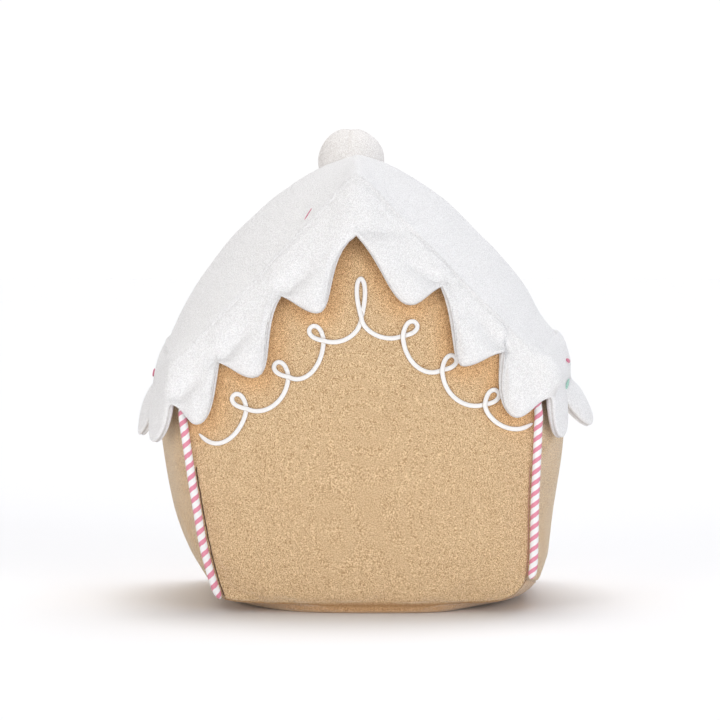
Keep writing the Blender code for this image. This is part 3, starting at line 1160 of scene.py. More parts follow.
@dataclass(frozen=True)
class FleeceBlock:
    """The stuffed tan block: four walls, the panel under the roof, and the base."""

    form: HouseForm
    line: IcingLine
    cells: int = 52
    crowding: float = 0.55
    slack: float = 0.0012
    stuffing: Stuffing = Stuffing()
    seam_width: float = 0.0011
    seam_depth: float = 0.0007
    pucker_depth: float = 0.00055
    pucker_reach: float = 0.009
    pucker_spacing: float = 0.0075
    dent_depth: float = 0.0006
    dent_width: float = 0.0030
    unevenness: float = 0.0006
    uneven_length: float = 0.035
    uneven_reach: float = 0.02
    # Painted shade under the cover's edge and on the base.
    painted_shade_reach: float = 0.0075
    base_painted_shade: float = 0.9
    ridge: float = 0.0024
    ridge_width: float = 0.0006
    ridge_rise: float = 0.006
    # Painted shade in every seam and on the base.
    seam_shade: float = 0.75
    seam_shade_width: float = 0.0006
    base_shade: float = 0.20
    middle_height: float = 0.06
    half_height: float = 0.055

    def build(self, finish: Material, edge: list[Vector]) -> tuple[Piece, Ground]:
        """Sews, stuffs and details the block.

        Args:
            finish: Its material.
            edge: The cover's scalloped edge over a gable, in x and z.

        Returns:
            The block, and its surface for what is sewn on.
        """
        piece = finished_piece("fleece_block", self._pattern(), finish)
        self.stuffing.inflate(piece, self._held(piece))
        self._refine(piece)
        return piece, self._detail(piece, edge)

    def _pattern(self) -> Mesh:
        """Returns the block as a cube cut into cells, sewn a little slack."""
        slack = replace(
            self.form,
            wall_bulge=self.form.wall_bulge - self.slack,
            panel_swell=self.form.panel_swell - self.slack,
        )
        bm = bmesh.new()
        bmesh.ops.create_cube(bm, size=2.0)
        bmesh.ops.subdivide_edges(bm, edges=bm.edges[:], cuts=self.cells - 1, use_grid_fill=True)
        pattern = bm.verts.layers.float_vector.new("pattern")
        for vert in bm.verts:
            vert[pattern] = Vector([crowd(c, self.crowding) for c in vert.co])
            vert.co = slack.block_point(vert[pattern])
        bmesh.ops.recalc_face_normals(bm, faces=bm.faces)
        return bm

    def _held(self, piece: Piece) -> list[float]:
        """Weighs every vertex: held along every seam, and under the roof and base.

        Args:
            piece: The block.

        Returns:
            How firmly each vertex is held, from 0 to 1.
        """
        weights = []
        for item in piece.data.attributes["pattern"].data:
            near = sorted(abs(c) for c in item.vector)
            held = near[1] > ON_SEAM or abs(item.vector[2]) > ON_SEAM
            weights.append(1.0 if held else 0.0)
        return weights

    def _refine(self, piece: Piece) -> None:
        """Applies one subdivision, which keeps the pattern's attribute.

        Args:
            piece: The block, which is changed.
        """
        smooth = piece.modifiers.new("Refine", "SUBSURF")
        smooth.levels = 1
        smooth.render_levels = 1
        view = bpy.context.evaluated_depsgraph_get()
        fine = bpy.data.meshes.new_from_object(piece.evaluated_get(view))
        piece.modifiers.remove(smooth)
        piece.data = fine

    def _detail(self, piece: Piece, edge: list[Vector]) -> Ground:
        """Presses seams, puckers and stitched dents into the block, and paints shade into its
        seams, under the cover's edge and on its base.

        Args:
            piece: The block, which is changed.
            edge: The cover's scalloped edge over a gable, in x and z.

        Returns:
            Its surface.
        """
        trail, _ = self.line.trail()
        dents, drips = flat_tree(trail.points), flat_tree(edge)
        bm = bmesh.new()
        bm.from_mesh(piece.data)
        pattern = bm.verts.layers.float_vector["pattern"]
        # Painted shade: in the seams, under the cover's edge and on the base.
        sewn = bm.verts.layers.float.new("sewn")
        painted_shaded = bm.verts.layers.float.new("painted_shaded")
        bm.normal_update()
        moves = []
        for vert in bm.verts:
            place, co = vert[pattern], vert.co
            gap = self._seam_distance(place)
            groove = bell(gap, self.seam_width)
            pucker = ripple(co, self.pucker_spacing) * bell(gap, self.pucker_reach) * (1.0 - groove)
            uneven = ripple(co, self.uneven_length, 3.0) * smoothstep(0.0, self.uneven_reach, gap)
            push = self.unevenness * uneven + self.pucker_depth * pucker - self.seam_depth * groove
            if abs(place.y) > ON_SEAM:
                flat = Vector((co.x, co.z, 0.0))
                push -= self.dent_depth * bell(dents.find(flat)[2], self.dent_width)
                # Painted shade under the cover's scalloped edge.
                vert[painted_shaded] = bell(drips.find(flat)[2], self.painted_shade_reach)
            beside = max(1.0 - abs(place.x), 1.0 - abs(place.y)) * self.form.half_depth
            above = smoothstep(0.0, self.ridge_rise, co.z - self.form.piping_bottoms[place.x > 0.0])
            push += self.ridge * bell(beside, self.ridge_width) * above
            # Painted shade on the base, and in the seams through the sewn mark.
            under = place.z < -ON_SEAM
            vert[painted_shaded] = self.base_painted_shade if under else vert[painted_shaded]
            mark = self.seam_shade * bell(gap, self.seam_shade_width)
            vert[sewn] = max(mark, self.base_shade if under else 0.0)
            moves.append(vert.normal * push if abs(place.z) < ON_SEAM else Vector())
        for vert, move in zip(bm.verts, moves):
            vert.co += move
        bm.to_mesh(piece.data)
        ground = Ground(bm, self.form)
        bm.free()
        piece.data.shade_smooth()
        return ground

    def _seam_distance(self, place: Vector) -> float:
        """Measures how far a point of the pattern lies from the nearest seam.

        Args:
            place: The point on the cube.

        Returns:
            The distance, in metres.
        """
        half_width = self.form.seam_half_width(self.middle_height)
        sizes = (half_width, self.form.half_depth, self.half_height)
        return sorted((1.0 - abs(c)) * size for c, size in zip(place, sizes))[1]


# The icing cover


@dataclass(frozen=True)
class Fold:
    """A soft crease of the cover, drawn on a gable's plane in x and z."""

    start: Flat
    end: Flat
    depth: float = 0.0042
    width: float = 0.0026
    fade_start: float = 0.35

    def press(self, x: float, z: float) -> float:
        """Finds how deep the fold is.

        Args:
            x: The place across the gable.
            z: The height.

        Returns:
            The depth, in metres.
        """
        away, share = segment_distance(Vector((x, z)), Vector(self.start), Vector(self.end))
        fade = 1.0 - smoothstep(self.fade_start, 1.0, share)
        return self.depth * fade * bell(away, self.width * (1.0 + share))


@dataclass(frozen=True)
class Drip:
    """One drip of the cover's edge: a steep flank, a round tip, and a slant up to the next notch.

    The flank's handle and the heel are shares of the way from the inner notch to the tip.
    """

    tip: Flat
    flank: Flat = (0.25, 0.62)
    heel: float = 0.65
    slant: float = 0.35

    def edge(self, inner: Flat, outer: Flat, t: float) -> Vector:
        """Finds a point of the drip's edge.

        Args:
            inner: The notch that its steep flank starts from.
            outer: The notch that its slant ends at.
            t: From 0 at the inner notch over 0.5 at the tip to 1 at the outer notch.

        Returns:
            The point.
        """
        tip = self.tip
        if t < 0.5:
            steep = (mix(inner[0], tip[0], self.flank[0]), mix(inner[1], tip[1], self.flank[1]))
            return bezier((inner, steep, (mix(inner[0], tip[0], self.heel), tip[1]), tip), 2.0 * t)
        up = (mix(outer[0], tip[0], self.slant), mix(outer[1], tip[1], self.slant))
        level = (mix(tip[0], outer[0], self.slant), tip[1])
        return bezier((tip, level, up, outer), 2.0 * t - 1.0)


@dataclass(frozen=True)
class IcingCover:
    """The padded cover: two slopes and a scalloped skirt, two layers thick with rolled edges."""

    form: HouseForm
    gap: float = 0.0004
    standoff: float = 0.004
    standoff_power: float = 1.2
    top_thickness: float = 0.0036
    drip_thickness: float = 0.0045
    thick_levels: float = 10.0
    rim_rounding: float = 0.0028
    rim_power: float = 2.2
    rim_pinch: float = 0.0007
    corner_notch_z: Sides = (0.0940, 0.0970)
    corner_flare: float = 0.0024
    corner_lobe: float = 0.0020
    corner_lobe_height: float = 0.0065
    lobe_z: float = 0.1070
    lobe_swell: float = 0.0014
    lobe_size: Flat = (0.035, 0.0085)
    lobe_crease: float = 0.0046
    lobe_crease_v: float = 0.055
    lobe_crease_size: Flat = (0.022, 0.013)
    lobe_depth: float = 0.0014
    lobe_groove: float = 0.0012
    # Painted shade along the right lobe's crease.
    lobe_shade: float = 0.26
    lobe_shade_width: float = 0.0009
    lobe_start: float = -0.8
    lobe_path: tuple[Flat, ...] = ((0.0822, 0.1193), (0.0858, 0.1076), (0.0813, 0.0981))
    dimple: Flat = (-0.0862, 0.1148)
    dimple_depth: float = 0.0013
    dimple_width: float = 0.0034
    dimple_bend: float = 600.0
    dimple_flatness: float = 2.0
    side_notch_z: float = 0.0975
    side_drips: int = 4
    left_tips: tuple[float, ...] = (0.0758, 0.0762, 0.0766, 0.0758)
    right_tips: tuple[float, ...] = (0.0778, 0.0803, 0.0795, 0.0780)
    drips: tuple[Drip, ...] = (
        Drip((-0.0750, 0.0851), flank=(0.15, 0.50), heel=0.35),
        Drip((-0.0498, 0.1062), flank=(0.65, 0.35), heel=0.15),
        Drip((-0.0209, 0.1351), flank=(0.75, 0.25), heel=0.50),
        Drip((0.0205, 0.1387), flank=(0.50, 0.45), heel=0.62),
        Drip((0.0443, 0.1113), flank=(0.60, 0.45), heel=0.35),
        Drip((0.0681, 0.0882), flank=(-0.60, 0.60), heel=0.20),
    )
    front_notches: tuple[Flat, ...] = (
        (-0.0645, 0.1128),
        (-0.0367, 0.1425),
        (-0.0036, 0.1695),
        (0.0336, 0.1465),
        (0.0608, 0.1175),
    )
    skirt_power: Sides = (1.0, 2.6)
    shoulder: Sides = (0.0060, 0.0068)
    shoulder_drop: Sides = (0.018, 0.012)
    shoulder_power: float = 1.3
    petal: Sides = (0.0106, 0.0160)
    petal_start: Sides = (0.0990, 0.0995)
    petal_power: float = 0.58
    petal_between: float = 0.35
    right_shoulder: float = 0.0034
    right_bump: Flat = (0.1190, 0.0075)
    right_dip: Flat = (0.1300, 0.0065)
    right_dip_share: float = 0.10
    right_fullness: float = 0.0012
    fullness_reach: Reach = (0.3, 0.6)
    right_rise: Reach = (0.12, 0.42)
    right_fall: Reach = (0.75, 1.0)
    columns_per_drip: int = 22
    rows_per_drip: int = 18
    crowding: float = 0.8
    levels: int = 26
    near_seam: tuple[float, ...] = (0.0005, 0.0011, 0.0019)
    near_rim: tuple[float, ...] = (0.0, 0.0001, 0.0004, 0.0009, 0.0016, 0.0025)
    welt_height: float = 0.0007
    welt_width: float = 0.0007
    welt_fade: float = 0.8
    low_end: Reach = (0.62, 0.95)
    past_seam: float = 0.004
    groove_depth: float = 0.0005
    groove_gap: float = 0.0016
    groove_width: float = 0.0008
    puff: float = 0.0013
    gable_puff: Reach = (0.001, 0.011)
    eave_puff: Reach = (0.001, 0.009)
    drip_swell: float = 0.0020
    drip_reach: Reach = (0.2, 0.75)
    drip_power: float = 0.7
    lumps: tuple[tuple[float, float, float], ...] = ((0.0005, 0.022, 5.0), (0.00025, 0.009, 9.0))
    # Painted shade in the crease along the rim and in the grooves beside the gable seams.
    rim_shade: float = 0.6
    rim_shade_width: float = 0.00005
    gable_groove_shade: float = 0.08
    gable_groove_shade_gap: float = 0.0012
    gable_groove_shade_width: float = 0.0006
    gable_groove_shade_end: Reach = (0.55, 0.9)
    folds: tuple[Fold, ...] = (
        Fold((-0.0367, 0.1425), (-0.0165, 0.1610)),
        Fold((-0.0645, 0.1128), (-0.0455, 0.1330)),
        Fold((-0.0860, 0.0950), (-0.0690, 0.1105)),
        Fold((-0.0020, 0.1702), (0.0290, 0.1702), depth=0.0026),
        Fold((0.0336, 0.1468), (0.0075, 0.1625), depth=0.0028),
        Fold((0.0608, 0.1178), (0.0425, 0.1395), depth=0.0028),
    )

    def _notches(self) -> list[Flat]:
        """Returns every notch of a gable's edge, with the two corner notches."""
        corners = []
        for side in Side:
            z = self.corner_notch_z[side is Side.RIGHT]
            corners.append((side.value * self._skirt_x(side, 0.0, z, 0.0) + self.form.lean(z), z))
        return [corners[0], *self.front_notches, corners[1]]

    def _slope_share(self, column: float) -> float:
        """Finds how far across the slopes a column lies.

        Args:
            column: The place, counted in drips from the left corner.

        Returns:
            The slope's a, from -1 to 1.
        """
        notches = self._notches()
        last = len(self.drips) - 1
        drip = min(int(column), last)
        reach = self.form.seam_half_width(self.form.gable_eave)
        ends = [(x - self.form.lean(z)) / reach for x, z in notches[drip : drip + 2]]
        ends[0] = -1.0 if drip == 0 else ends[0]
        ends[1] = 1.0 if drip == last else ends[1]
        return mix(ends[0], ends[1], column - drip)

    def _gable_edge(self, column: float) -> Vector:
        """Finds a point of the scalloped gable edge.

        Args:
            column: The place, counted in drips from the left corner.

        Returns:
            Its x and z.
        """
        notches = self._notches()
        index = min(int(column), len(self.drips) - 1)
        left, drip, right = notches[index], self.drips[index], notches[index + 1]
        if drip.tip[0] < 0.0:
            return drip.edge(right, left, 1.0 - column + index)
        return drip.edge(left, right, column - index)

    def gable_edge(self, steps: int = 180) -> list[Vector]:
        """Returns the whole scalloped gable edge, in x and z."""
        return [self._gable_edge(len(self.drips) * step / steps) for step in range(steps)]

    def _eave_edge(self, side: Side, v: float) -> Vector:
        """Finds a point of the scalloped edge along an eave.

        Args:
            side: Which eave.
            v: The depth share on the slope.

        Returns:
            The depth share and the height of the edge.
        """
        drip = min(int(v * self.side_drips), self.side_drips - 1)
        first, last = drip / self.side_drips, (drip + 1) / self.side_drips
        corner_z = self.corner_notch_z[side is Side.RIGHT]
        start_z = corner_z if drip == 0 else self.side_notch_z
        end_z = corner_z if drip == self.side_drips - 1 else self.side_notch_z
        tips = self.right_tips if side is Side.RIGHT else self.left_tips
        shape = Drip(((first + last) / 2.0, tips[drip]))
        return shape.edge((first, start_z), (last, end_z), v * self.side_drips - drip)

    def _skirt_x(self, side: Side, v: float, z: float, petal: float) -> float:
        """Returns the skirt's half-width under an eave.

        Args:
            side: Which eave.
            v: The depth share.
            z: The height.
            petal: From 0 between two drips to 1 along a drip's middle.

        Returns:
            The half-width of its inner face.
        """
        form = self.form
        right = side is Side.RIGHT
        drop = max(form.eave(v) - z, 0.0)
        swell = form.pillow(v) ** self.skirt_power[right]
        fall = min(drop / self.shoulder_drop[right], 1.0)
        flare = self.shoulder[right] * (1.0 - (1.0 - fall) ** self.shoulder_power)
        start, lowest = self.petal_start[right], min(self.left_tips)
        low = min(max((start - z) / (start - lowest), 0.0), 1.0)
        flare += self.petal[right] * low**self.petal_power * mix(self.petal_between, 1.0, petal)
        spread = self.corner_flare * fall * (1.0 - swell)
        if right:
            lobe = bell(z - self.lobe_z, self.corner_lobe_height)
            spread += self.corner_lobe * lobe * (1.0 - swell) ** 3
        return form.wall_half_width(form.eave(v), v) + self.gap + flare * swell + spread

    def _skirt_share(self, level: int, length: float) -> float:
        """Spaces the levels of a skirt, close together at its seam and its edge.

        Args:
            level: The level, from 1 at the seam.
            length: The skirt's length there.

        Returns:
            How far down the skirt the level lies, from 0 to 1.
        """
        if level <= len(self.near_seam):
            return self.near_seam[level - 1] / length
        if self.levels - level < len(self.near_rim):
            return 1.0 - self.near_rim[self.levels - level] / length
        first, last = len(self.near_seam), self.levels - len(self.near_rim) + 1
        low, high = self.near_seam[-1] / length, 1.0 - self.near_rim[-1] / length
        return mix(low, high, (level - first) / (last - first))

    def _sheet_point(self, place: Vector) -> Vector:
        """Finds where a point of the flat pattern lies on the cover's inner face.

        Args:
            place: x and y over the slopes from -1 to 1, and z as the skirt's level.

        Returns:
            The point.
        """
        form = self.form
        column = (place.x + 1.0) / 2.0 * len(self.drips)
        a, v = self._slope_share(column), (place.y + 1.0) / 2.0
        top = form.roof_point(a, v) + form.roof_normal(a, v) * self.gap
        top.y *= 1.0 + self.gap / form.half_depth
        level = round(place.z)
        if level == 0:
            return top
        gable = abs(place.y) > ON_SEAM
        edge = self._gable_edge(column) if gable else self._eave_edge(Side.of(place.x), v)
        length = math.hypot(edge.x - top.x, edge.y - top.z) if gable else top.z - edge.y
        w = self._skirt_share(level, length)
        reach = form.half_depth + self.gap + self.standoff * w**self.standoff_power
        if gable:
            x, z = mix(top.x, edge.x, w), mix(top.z, edge.y, w)
            return Vector((x, place.y * (reach + form.panel_bulge(x, z)), z))
        depth, z = mix(v, edge.x, w), mix(top.z, edge.y, w)
        petal = math.sin(math.pi * (depth * self.side_drips % 1.0))
        x = place.x * self._skirt_x(Side.of(place.x), v, z, petal) + form.lean(z)
        return Vector((x, mix(-reach, reach, depth), z))

    def _pattern(self) -> Mesh:
        """Returns the flat pattern: a grid for the slopes, with the skirt drawn from its border."""
        bm = bmesh.new()
        columns = self.columns_per_drip * len(self.drips)
        rows = self.rows_per_drip * self.side_drips
        bmesh.ops.create_grid(bm, x_segments=columns, y_segments=rows, size=1.0)
        for vert in bm.verts:
            vert.co.y = crowd(vert.co.y, self.crowding)
        for level in range(1, self.levels + 1):
            border = [edge for edge in bm.edges if edge.is_boundary]
            for made in bmesh.ops.extrude_edge_only(bm, edges=border)["geom"]:
                if isinstance(made, bmesh.types.BMVert):
                    made.co.z = float(level)
        return bm

    def _soft_normals(self, bm: Mesh, rounds: int = 8) -> list[Vector]:
        """Averages each vertex's normal with its neighbours' to round the seams off.

        Args:
            bm: The sheet.
            rounds: How often they are averaged.

        Returns:
            One normal for each vertex.
        """
        bm.normal_update()
        normals = [vert.normal.copy() for vert in bm.verts]
        around = [[edge.other_vert(vert).index for edge in vert.link_edges] for vert in bm.verts]
        for _ in range(rounds):
            normals = [
                sum((normals[i] for i in near), normals[index]).normalized()
                for index, near in enumerate(around)
            ]
        return normals

    def _rim_distances(self, bm: Mesh) -> list[float]:
        """Measures each vertex's distance to the cover's edge.

        Args:
            bm: The sheet.

        Returns:
            One distance for each vertex.
        """
        edges = [edge for edge in bm.edges if edge.is_boundary]
        parts = 4
        tree = kdtree.KDTree(len(edges) * parts)
        for index, edge in enumerate(edges):
            first, last = (vert.co for vert in edge.verts)
            for part in range(parts):
                tree.insert(first.lerp(last, part / parts), index * parts + part)
        tree.balance()
        return [tree.find(vert.co)[2] for vert in bm.verts]

    def _relief(self, place: Vector, co: Vector, rim: float) -> float:
        """Finds how far the outer face stands above its even thickness.

        Args:
            place: The point on the flat pattern, with its level.
            co: Where it lies.
            rim: Its distance to the edge.

        Returns:
            The height, in metres.
        """
        gable, skirt = abs(place.y) > ON_SEAM, place.z > 0.5
        height = sum(size * ripple(co, length, seed) for size, length, seed in self.lumps)
        if gable or not skirt:
            height += self._welt(place)
        if skirt:
            height += self.puff * smoothstep(*(self.gable_puff if gable else self.eave_puff), rim)
        if gable and skirt:
            height -= sum(fold.press(co.x, co.z) for fold in self.folds)
            across = (place.x + 1.0) / 2.0 * len(self.drips) % 1.0
            low = smoothstep(*self.drip_reach, place.z / self.levels)
            height += self.drip_swell * math.sin(math.pi * across) ** self.drip_power * low
        if co.x > 0.0:
            height += self._right_relief(place, co, gable)
        if self._by_lobe(place, co):
            height -= self.lobe_depth * bell(self._lobe_gap(co), self.lobe_groove)
        if co.y < 0.0:
            aside, up = co.x - self.dimple[0], co.z - self.dimple[1]
            bent = (up - self.dimple_bend * aside**2) * self.dimple_flatness
            height -= self.dimple_depth * bell(math.hypot(aside, bent), self.dimple_width)
        return height

    def _welt(self, place: Vector) -> float:
        """Finds the welt along a gable's seam and the groove below it.

        Args:
            place: The point on the flat pattern, with its level.

        Returns:
            The height, in metres.
        """
        level, low_end = int(place.z), smoothstep(*self.low_end, abs(place.x))
        gap = (1.0 - abs(place.y)) * self.form.half_depth
        if level > 0:
            gap = self.near_seam[level - 1] if level <= len(self.near_seam) else self.past_seam
        height = self.welt_height * bell(gap, self.welt_width) * (1.0 - self.welt_fade * low_end)
        if level > 0:
            groove = bell(gap - self.groove_gap, self.groove_width)
            height -= self.groove_depth * groove * (1.0 - low_end)
        return height

    def _right_relief(self, place: Vector, co: Vector, gable: bool) -> float:
        """Finds the right eave's lobe, shoulder and fullness.

        Args:
            place: The point on the flat pattern, with its level.
            co: Where it lies.
            gable: Whether it lies over a gable.

        Returns:
            The height, in metres.
        """
        v = (place.y + 1.0) / 2.0
        width, tall = self.lobe_size
        beside = 1.0 - abs(place.x) if gable else v
        height = self.lobe_swell * bell(beside, width) * bell(co.z - self.lobe_z, tall)
        if not gable:
            width, tall = self.lobe_crease_size
            crease = bell(v - self.lobe_crease_v, width) * bell(co.z - self.lobe_z, tall)
            height -= self.lobe_crease * crease
            back = smoothstep(*self.right_rise, v) * (1.0 - smoothstep(*self.right_fall, v))
            bump, dip = (bell(co.z - z, tall) for z, tall in (self.right_bump, self.right_dip))
            height += self.right_shoulder * (bump - self.right_dip_share * dip) * back
            full = smoothstep(*self.fullness_reach, abs(place.x))
            height += self.right_fullness * back * full
        return height

    def build(self, finish: Material) -> tuple[Piece, BVHTree]:
        """Cuts, pads and sews the cover.

        Args:
            finish: Its material.

        Returns:
            The cover, and a search tree of its surface.
        """
        bm = self._pattern()
        places = [vert.co.copy() for vert in bm.verts]
        for vert, place in zip(bm.verts, places):
            vert.co = self._sheet_point(place)
        bmesh.ops.recalc_face_normals(bm, faces=bm.faces)
        bm.verts.ensure_lookup_table()
        bm.verts.index_update()
        bm.normal_update()
        top = max(bm.verts, key=lambda vert: vert.co.z)
        if top.normal.z < 0.0:
            bmesh.ops.reverse_faces(bm, faces=bm.faces)
        normals = self._soft_normals(bm)
        rims = self._rim_distances(bm)
        sewn = bm.verts.layers.float.new("sewn")
        inward = self._inward(bm, normals)
        outer, inner = [], []
        for vert, place, normal, rim in zip(bm.verts, places, normals, rims):
            inset = min(rim / self.rim_rounding, 1.0)
            round_off = (1.0 - (1.0 - inset) ** self.rim_power) ** (1.0 / self.rim_power)
            down = smoothstep(0.0, self.thick_levels, place.z)
            thick = mix(self.top_thickness, self.drip_thickness, down)
            pinch = inward.get(vert.index, Vector()) * self.rim_pinch
            middle = vert.co + normal * thick / 2.0 + pinch
            half = thick / 2.0 * round_off
            relief = self._relief(place, vert.co, rim) * min(1.0, rim / self.rim_rounding)
            outer.append(middle + normal * (half + relief))
            inner.append(middle - normal * half)
            # Painted shade in the creases, through the sewn mark.
            vert[sewn] = self._seam_shade(place, vert.co, rim)
        lining = bmesh.ops.duplicate(bm, geom=bm.verts[:] + bm.edges[:] + bm.faces[:])
        faces = [item for item in lining["geom"] if isinstance(item, bmesh.types.BMFace)]
        bmesh.ops.reverse_faces(bm, faces=faces)
        originals = [vert for vert in bm.verts if vert.index < len(outer)]
        for vert, above, below in zip(originals, outer, inner):
            lining["vert_map"][vert].co = below
            vert.co = above
        rim_verts = [vert for vert in bm.verts if vert.is_boundary]
        bmesh.ops.remove_doubles(bm, verts=rim_verts, dist=WELD)
        bm.normal_update()
        tree = BVHTree.FromBMesh(bm)
        return finished_piece("icing_cover", bm, finish), tree

    def _inward(self, bm: Mesh, normals: list[Vector]) -> dict[int, Vector]:
        """Finds the way into the cloth along its edge.

        Args:
            bm: The sheet.
            normals: The normal of each vertex.

        Returns:
            The direction at each vertex of the edge, by its index.
        """
        found = {}
        for vert in bm.verts:
            if not vert.is_boundary:
                continue
            beside = [edge.other_vert(vert) for edge in vert.link_edges if edge.is_boundary]
            inside = [edge.other_vert(vert) for edge in vert.link_edges if not edge.is_boundary]
            if len(beside) != 2 or not inside:
                continue
            across = normals[vert.index].cross(beside[0].co - beside[1].co).normalized()
            found[vert.index] = across if across.dot(inside[0].co - vert.co) > 0.0 else -across
        return found

    def _by_lobe(self, place: Vector, co: Vector) -> bool:
        """Returns whether a point lies on the skirt near the right lobe's crease."""
        return co.x > 0.0 and place.y < self.lobe_start and place.z > 0.5

    def _lobe_gap(self, co: Vector) -> float:
        """Measures how far a point lies from the right lobe's crease.

        Args:
            co: The point, on or near the front gable.

        Returns:
            The distance, in metres.
        """
        flat = Vector((co.x, co.z))
        path = [Vector(point) for point in self.lobe_path]
        return min(segment_distance(flat, *pair)[0] for pair in zip(path, path[1:]))

    def _seam_shade(self, place: Vector, co: Vector, rim: float) -> float:
        """Paints shade into the cloth: the crease along its edge, the right lobe's crease and the
        grooves beside the gable seams.

        Args:
            place: The point on the flat pattern, with its level.
            co: Where it lies.
            rim: Its distance to the edge.

        Returns:
            How dark it is, from 0 to 1.
        """
        mark = self.rim_shade * bell(rim, self.rim_shade_width)
        if self._by_lobe(place, co):
            mark += self.lobe_shade * bell(self._lobe_gap(co), self.lobe_shade_width)
        level = int(place.z)
        if abs(place.y) > ON_SEAM and 0 < level <= len(self.near_seam):
            fade = 1.0 - smoothstep(*self.gable_groove_shade_end, abs(place.x))
            gap = self.near_seam[level - 1] - self.gable_groove_shade_gap
            mark += self.gable_groove_shade * fade * bell(gap, self.gable_groove_shade_width)
        return min(mark, 1.0)


# Pompom, piping, sprinkles


@dataclass(frozen=True)
class Pompom:
    """The stuffed ball on the ridge, sewn from panels that pull in along their seams."""

    radius: float
    centre: Vector
    seam_depth: float = 0.0005
    seam_width: float = 0.0009
    seam_end: Reach = (0.15, 0.75)
    # Painted shade along the seam grooves.
    seam_shade: float = 0.25
    seam_shade_width: float = 0.0005
    dimple: float = 0.0012
    dimple_width: float = 0.02
    lump: float = 0.0004
    lump_length: float = 0.012
    turn: float = 0.5 * math.pi + 0.09
    panels: int = 4

    def build(self, finish: Material) -> Piece:
        """Shapes the ball.

        Args:
            finish: Its material.

        Returns:
            The ball.
        """
        bm = bmesh.new()
        bmesh.ops.create_icosphere(bm, subdivisions=6, radius=1.0)
        sewn = bm.verts.layers.float.new("sewn")
        step = 2.0 * math.pi / self.panels
        for vert in bm.verts:
            away = vert.co.normalized()
            angle = math.atan2(away.y, away.x) + self.turn
            aside = abs((angle / step + 0.5) % 1.0 - 0.5) * step
            gap = aside * math.hypot(away.x, away.y) * self.radius
            near_top = smoothstep(*self.seam_end, away.z)
            groove = bell(gap, self.seam_width) * near_top
            push = self.lump * ripple(away * self.radius, self.lump_length, 7.0)
            push -= self.seam_depth * groove + self.dimple * bell(1.0 - away.z, self.dimple_width)
            # Painted shade in the seam grooves, through the sewn mark.
            vert[sewn] = self.seam_shade * bell(gap, self.seam_shade_width) * near_top
            vert.co = self.centre + away * (self.radius + push)
        return finished_piece("pompom_ball", bm, finish)


@dataclass(frozen=True)
class PipingCord:
    """A striped cord sewn into one upright seam."""

    form: HouseForm
    side: Side
    end: End
    top: float = 0.102
    radius: float = 0.00192
    offset: float = 0.0018
    tucked_offset: float = 0.0004
    tucked: Reach = (0.088, 0.098)
    wander: float = 0.0003
    wander_length: float = 0.018
    end_steepness: float = 25.0
    pitch: float = 0.0050
    rings: int = 120
    sides: int = 24

    def _axis(self, share: float) -> Vector:
        """Finds the cord's middle.

        Args:
            share: How far up the cord, from 0 to 1.

        Returns:
            The point.
        """
        z = mix(self.form.piping_bottoms[self.side is Side.RIGHT], self.top, share)
        out = mix(self.offset, self.tucked_offset, smoothstep(*self.tucked, z))
        wave = ripple(Vector((0.0, self.side.value, z)), self.wander_length, 2.0)
        x = self.form.upright_seam_x(self.side, z, out + self.wander * wave)
        return Vector((x, self.end.value * (self.form.half_depth + out), z))

    def build(self, finish: Material) -> Piece:
        """Sweeps the cord along its seam.

        Args:
            finish: Its material.

        Returns:
            The cord.
        """
        length = (self._axis(1.0) - self._axis(0.0)).length
        inward = math.atan2(-self.end.value, -self.side.value)

        def place(share: float, angle: float) -> Vector:
            """Finds a point of the round cord, whose tape meets on the inward side.

            Args:
                share: How far along it, from 0 to 1.
                angle: The turn round it, in radians.

            Returns:
                The point.
            """
            radius = self.radius * rounded_end(share, self.end_steepness, 0.05)
            turned = angle + inward
            return self._axis(share) + Vector((math.cos(turned), math.sin(turned), 0.0)) * radius

        bm = swept_tube(self.rings, self.sides, place, lambda share: share * length / self.pitch)
        return finished_piece(corner_name("piping_cord", self.end, self.side), bm, finish)


@dataclass(frozen=True)
class SeamShadeLine:
    """A thin dark line laid between a cord and its gable panel, as painted shade of the gap there.
    """

    form: HouseForm
    side: Side
    end: End
    bottoms: Sides = (0.0075, 0.0165)
    top: float = 0.066
    radius: float = 0.00024
    unevenness: float = 0.4
    uneven_length: float = 0.0025
    inset: float = 0.0009
    wander: float = 0.00025
    wander_length: float = 0.004
    standing: float = 0.4
    rings: int = 160
    sides: int = 8

    def build(self, ground: Ground, finish: Material) -> Piece:
        """Lays the painted shade line along its seam.

        Args:
            ground: The fleece that it lies on.
            finish: Its material.

        Returns:
            The line.
        """
        bottom = self.bottoms[self.side is Side.RIGHT]

        def place(share: float, angle: float) -> Vector:
            """Lays a point of the line on the gable.

            Args:
                share: How far along it, from 0 to 1.
                angle: The turn round it, in radians.

            Returns:
                The point.
            """
            z = mix(bottom, self.top, share)
            side = self.side.value
            wave = ripple(Vector((side, 0.0, z)), self.wander_length)
            x = self.form.upright_seam_x(self.side, z, self.wander * wave - self.inset)
            uneven = ripple(Vector((0.0, side, z)), self.uneven_length, 4.0)
            radius = self.radius * (1.0 + self.unevenness * uneven)
            height = radius * (self.standing + math.sin(angle))
            return ground.on_gable(self.end, x + radius * math.cos(angle), z, height)

        length = self.top - bottom
        bm = swept_tube(self.rings, self.sides, place, lambda share: share * length)
        return finished_piece(corner_name("seam_shade_line", self.end, self.side), bm, finish)


